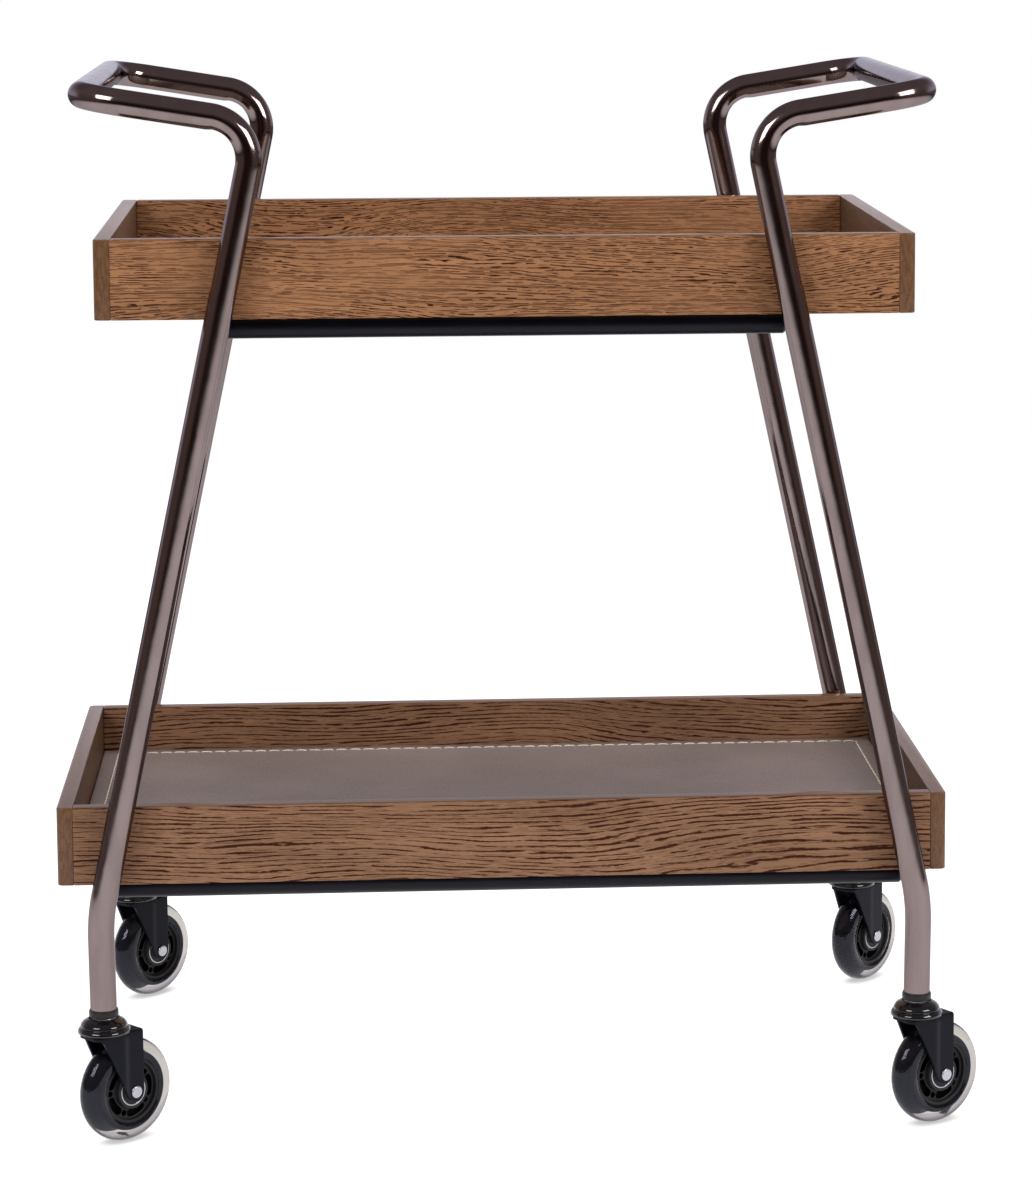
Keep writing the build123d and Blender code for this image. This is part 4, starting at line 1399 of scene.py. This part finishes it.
class BAR_CART_OT_studio(bpy.types.Operator):
    """Set up the pale floor, the soft lights and the camera"""

    bl_idname = "bar_cart.studio"
    bl_label = "Studio"

    def execute(self, context):
        self.floor()
        self.world(context)
        self.softbox("key_softbox", (-1.7, -1.9, 1.9), (0, 0, 0.4), (1.4, 1.2), 40)
        self.softbox("fill_softbox", (1.9, -1.6, 1.7), (0, 0, 0.4), (1.4, 1.2), 46)
        self.softbox("top_softbox", (0.1, 0.5, 2.4), (0, 0, 0.3), (1.8, 1.4), 40, mirrored=False)
        self.camera(context)
        context.scene.view_settings.view_transform = "Standard"
        return {"FINISHED"}

    def floor(self):
        """A round sheet of pale paper."""
        bm = bmesh.new()
        bmesh.ops.create_circle(bm, cap_ends=True, segments=96, radius=4.2)
        floor = loose("studio_floor", mesh_from("studio_floor", bm))
        floor.data.materials.append(finish("studio_floor"))

    def world(self, context):
        """White to look at; the cart is lit by a pale backdrop behind it and a dim warm room in front."""
        make = FinishNodes(bpy.data.worlds.new("studio_room"))
        context.scene.world = make.owner
        way = make.add("ShaderNodeTexCoord", {}).outputs["Generated"]
        parts = make.add("ShaderNodeSeparateXYZ", {0: way}).outputs
        overhead = (0.22, 0.185, 0.190, 1)
        aside = make.span(make.sum("ABSOLUTE", parts["X"], 0), 0.35, 0.9)
        wall = make.tint(aside, (0.035, 0.018, 0.016, 1), (0.18, 0.13, 0.115, 1))
        room = make.tint(make.span(parts["Z"], 0.05, 0.5), wall, overhead)
        backdrop = make.tint(make.span(parts["Z"], 0.05, 0.6), (0.85, 0.84, 0.95, 1), overhead)
        backdrop = make.tint(make.span(parts["Z"], -0.06, 0.03), (0.22, 0.20, 0.21, 1), backdrop)
        around = make.tint(make.span(parts["Y"], 0.1, 0.6), room, backdrop)
        lit = make.add("ShaderNodeBackground", {"Color": around})
        seen = make.add("ShaderNodeBackground", {"Color": (1, 1, 1, 1)})
        by_camera = make.add("ShaderNodeLightPath", {}).outputs["Is Camera Ray"]
        mix = make.add("ShaderNodeMixShader", {0: by_camera, 1: lit.outputs[0], 2: seen.outputs[0]})
        make.add("ShaderNodeOutputWorld", {0: mix.outputs[0]})

    def softbox(self, name, spot, target, size, power, mirrored=True):
        """A lamp that faces a point. It never shows through a tyre, and glints only where it is mirrored."""
        lamp = bpy.data.lights.new(name, "AREA")
        lamp.shape = "RECTANGLE"
        lamp.size, lamp.size_y = size
        lamp.energy = power
        box = bpy.data.objects.new(name, lamp)
        box.location = spot
        box.rotation_euler = (Vector(target) - Vector(spot)).to_track_quat("-Z", "Y").to_euler()
        box.visible_camera = False
        box.visible_glossy = mirrored
        box.visible_transmission = False
        bpy.context.scene.collection.objects.link(box)

    def camera(self, context):
        """The photograph's view: a long lens a little above the cart."""
        yaw, pitch, roll = 0.069546, 0.146755, 0.0023595
        stand = (-0.102281, -2.992342, 0.893270)
        frame_height, right_shift, up_shift = 1200, -124, -120
        forward = Vector((math.sin(yaw) * math.cos(pitch), math.cos(yaw) * math.cos(pitch), -math.sin(pitch)))
        right = Vector((math.cos(yaw), -math.sin(yaw), 0))
        down = forward.cross(right)
        tilted_right = right * math.cos(roll) + down * math.sin(roll)
        tilted_down = down * math.cos(roll) - right * math.sin(roll)
        lens = bpy.data.cameras.new("photograph_view")
        lens.sensor_width = 36
        lens.lens = 120
        lens.shift_x = right_shift / frame_height
        lens.shift_y = up_shift / frame_height
        camera = bpy.data.objects.new("photograph_view", lens)
        place = Matrix((tilted_right, -tilted_down, -forward)).transposed().to_4x4()
        place.translation = stand
        camera.matrix_world = place
        context.scene.collection.objects.link(camera)
        context.scene.camera = camera


STEPS = (
    BAR_CART_OT_frame_tubes,
    BAR_CART_OT_frame_stubs,
    BAR_CART_OT_rods_and_rails,
    BAR_CART_OT_tray_boards,
    BAR_CART_OT_leather_pads,
    BAR_CART_OT_leg_sockets,
    BAR_CART_OT_caster_tops,
    BAR_CART_OT_caster_forks,
    BAR_CART_OT_caster_axles,
    BAR_CART_OT_caster_wheels,
    BAR_CART_OT_studio,
)
SETTINGS = {
    "bar_cart_frame": BAR_CART_PG_frame,
    "bar_cart_tray": BAR_CART_PG_tray,
    "bar_cart_caster": BAR_CART_PG_caster,
    "bar_cart_finish": BAR_CART_PG_finish,
}


class BAR_CART_PT_panel(bpy.types.Panel):
    """The cart's steps and settings in the sidebar"""

    bl_idname = "BAR_CART_PT_panel"
    bl_label = "Bar cart"
    bl_space_type = "VIEW_3D"
    bl_region_type = "UI"
    bl_category = "Bar cart"

    def draw(self, context):
        for step in STEPS:
            self.layout.operator(step.bl_idname)
        for name, group in SETTINGS.items():
            box = self.layout.box()
            for size in group.__annotations__:
                box.prop(getattr(context.scene, name), size)


def register():
    for name, group in SETTINGS.items():
        bpy.utils.register_class(group)
        setattr(bpy.types.Scene, name, PointerProperty(type=group))
    for item in STEPS + (BAR_CART_PT_panel,):
        bpy.utils.register_class(item)


def unregister():
    for item in (BAR_CART_PT_panel,) + STEPS[::-1]:
        bpy.utils.unregister_class(item)
    for name, group in SETTINGS.items():
        delattr(bpy.types.Scene, name)
        bpy.utils.unregister_class(group)


def main():
    register()
    for step in STEPS:
        group, name = step.bl_idname.split(".")
        getattr(getattr(bpy.ops, group), name)()


if __name__ == "__main__":
    main()
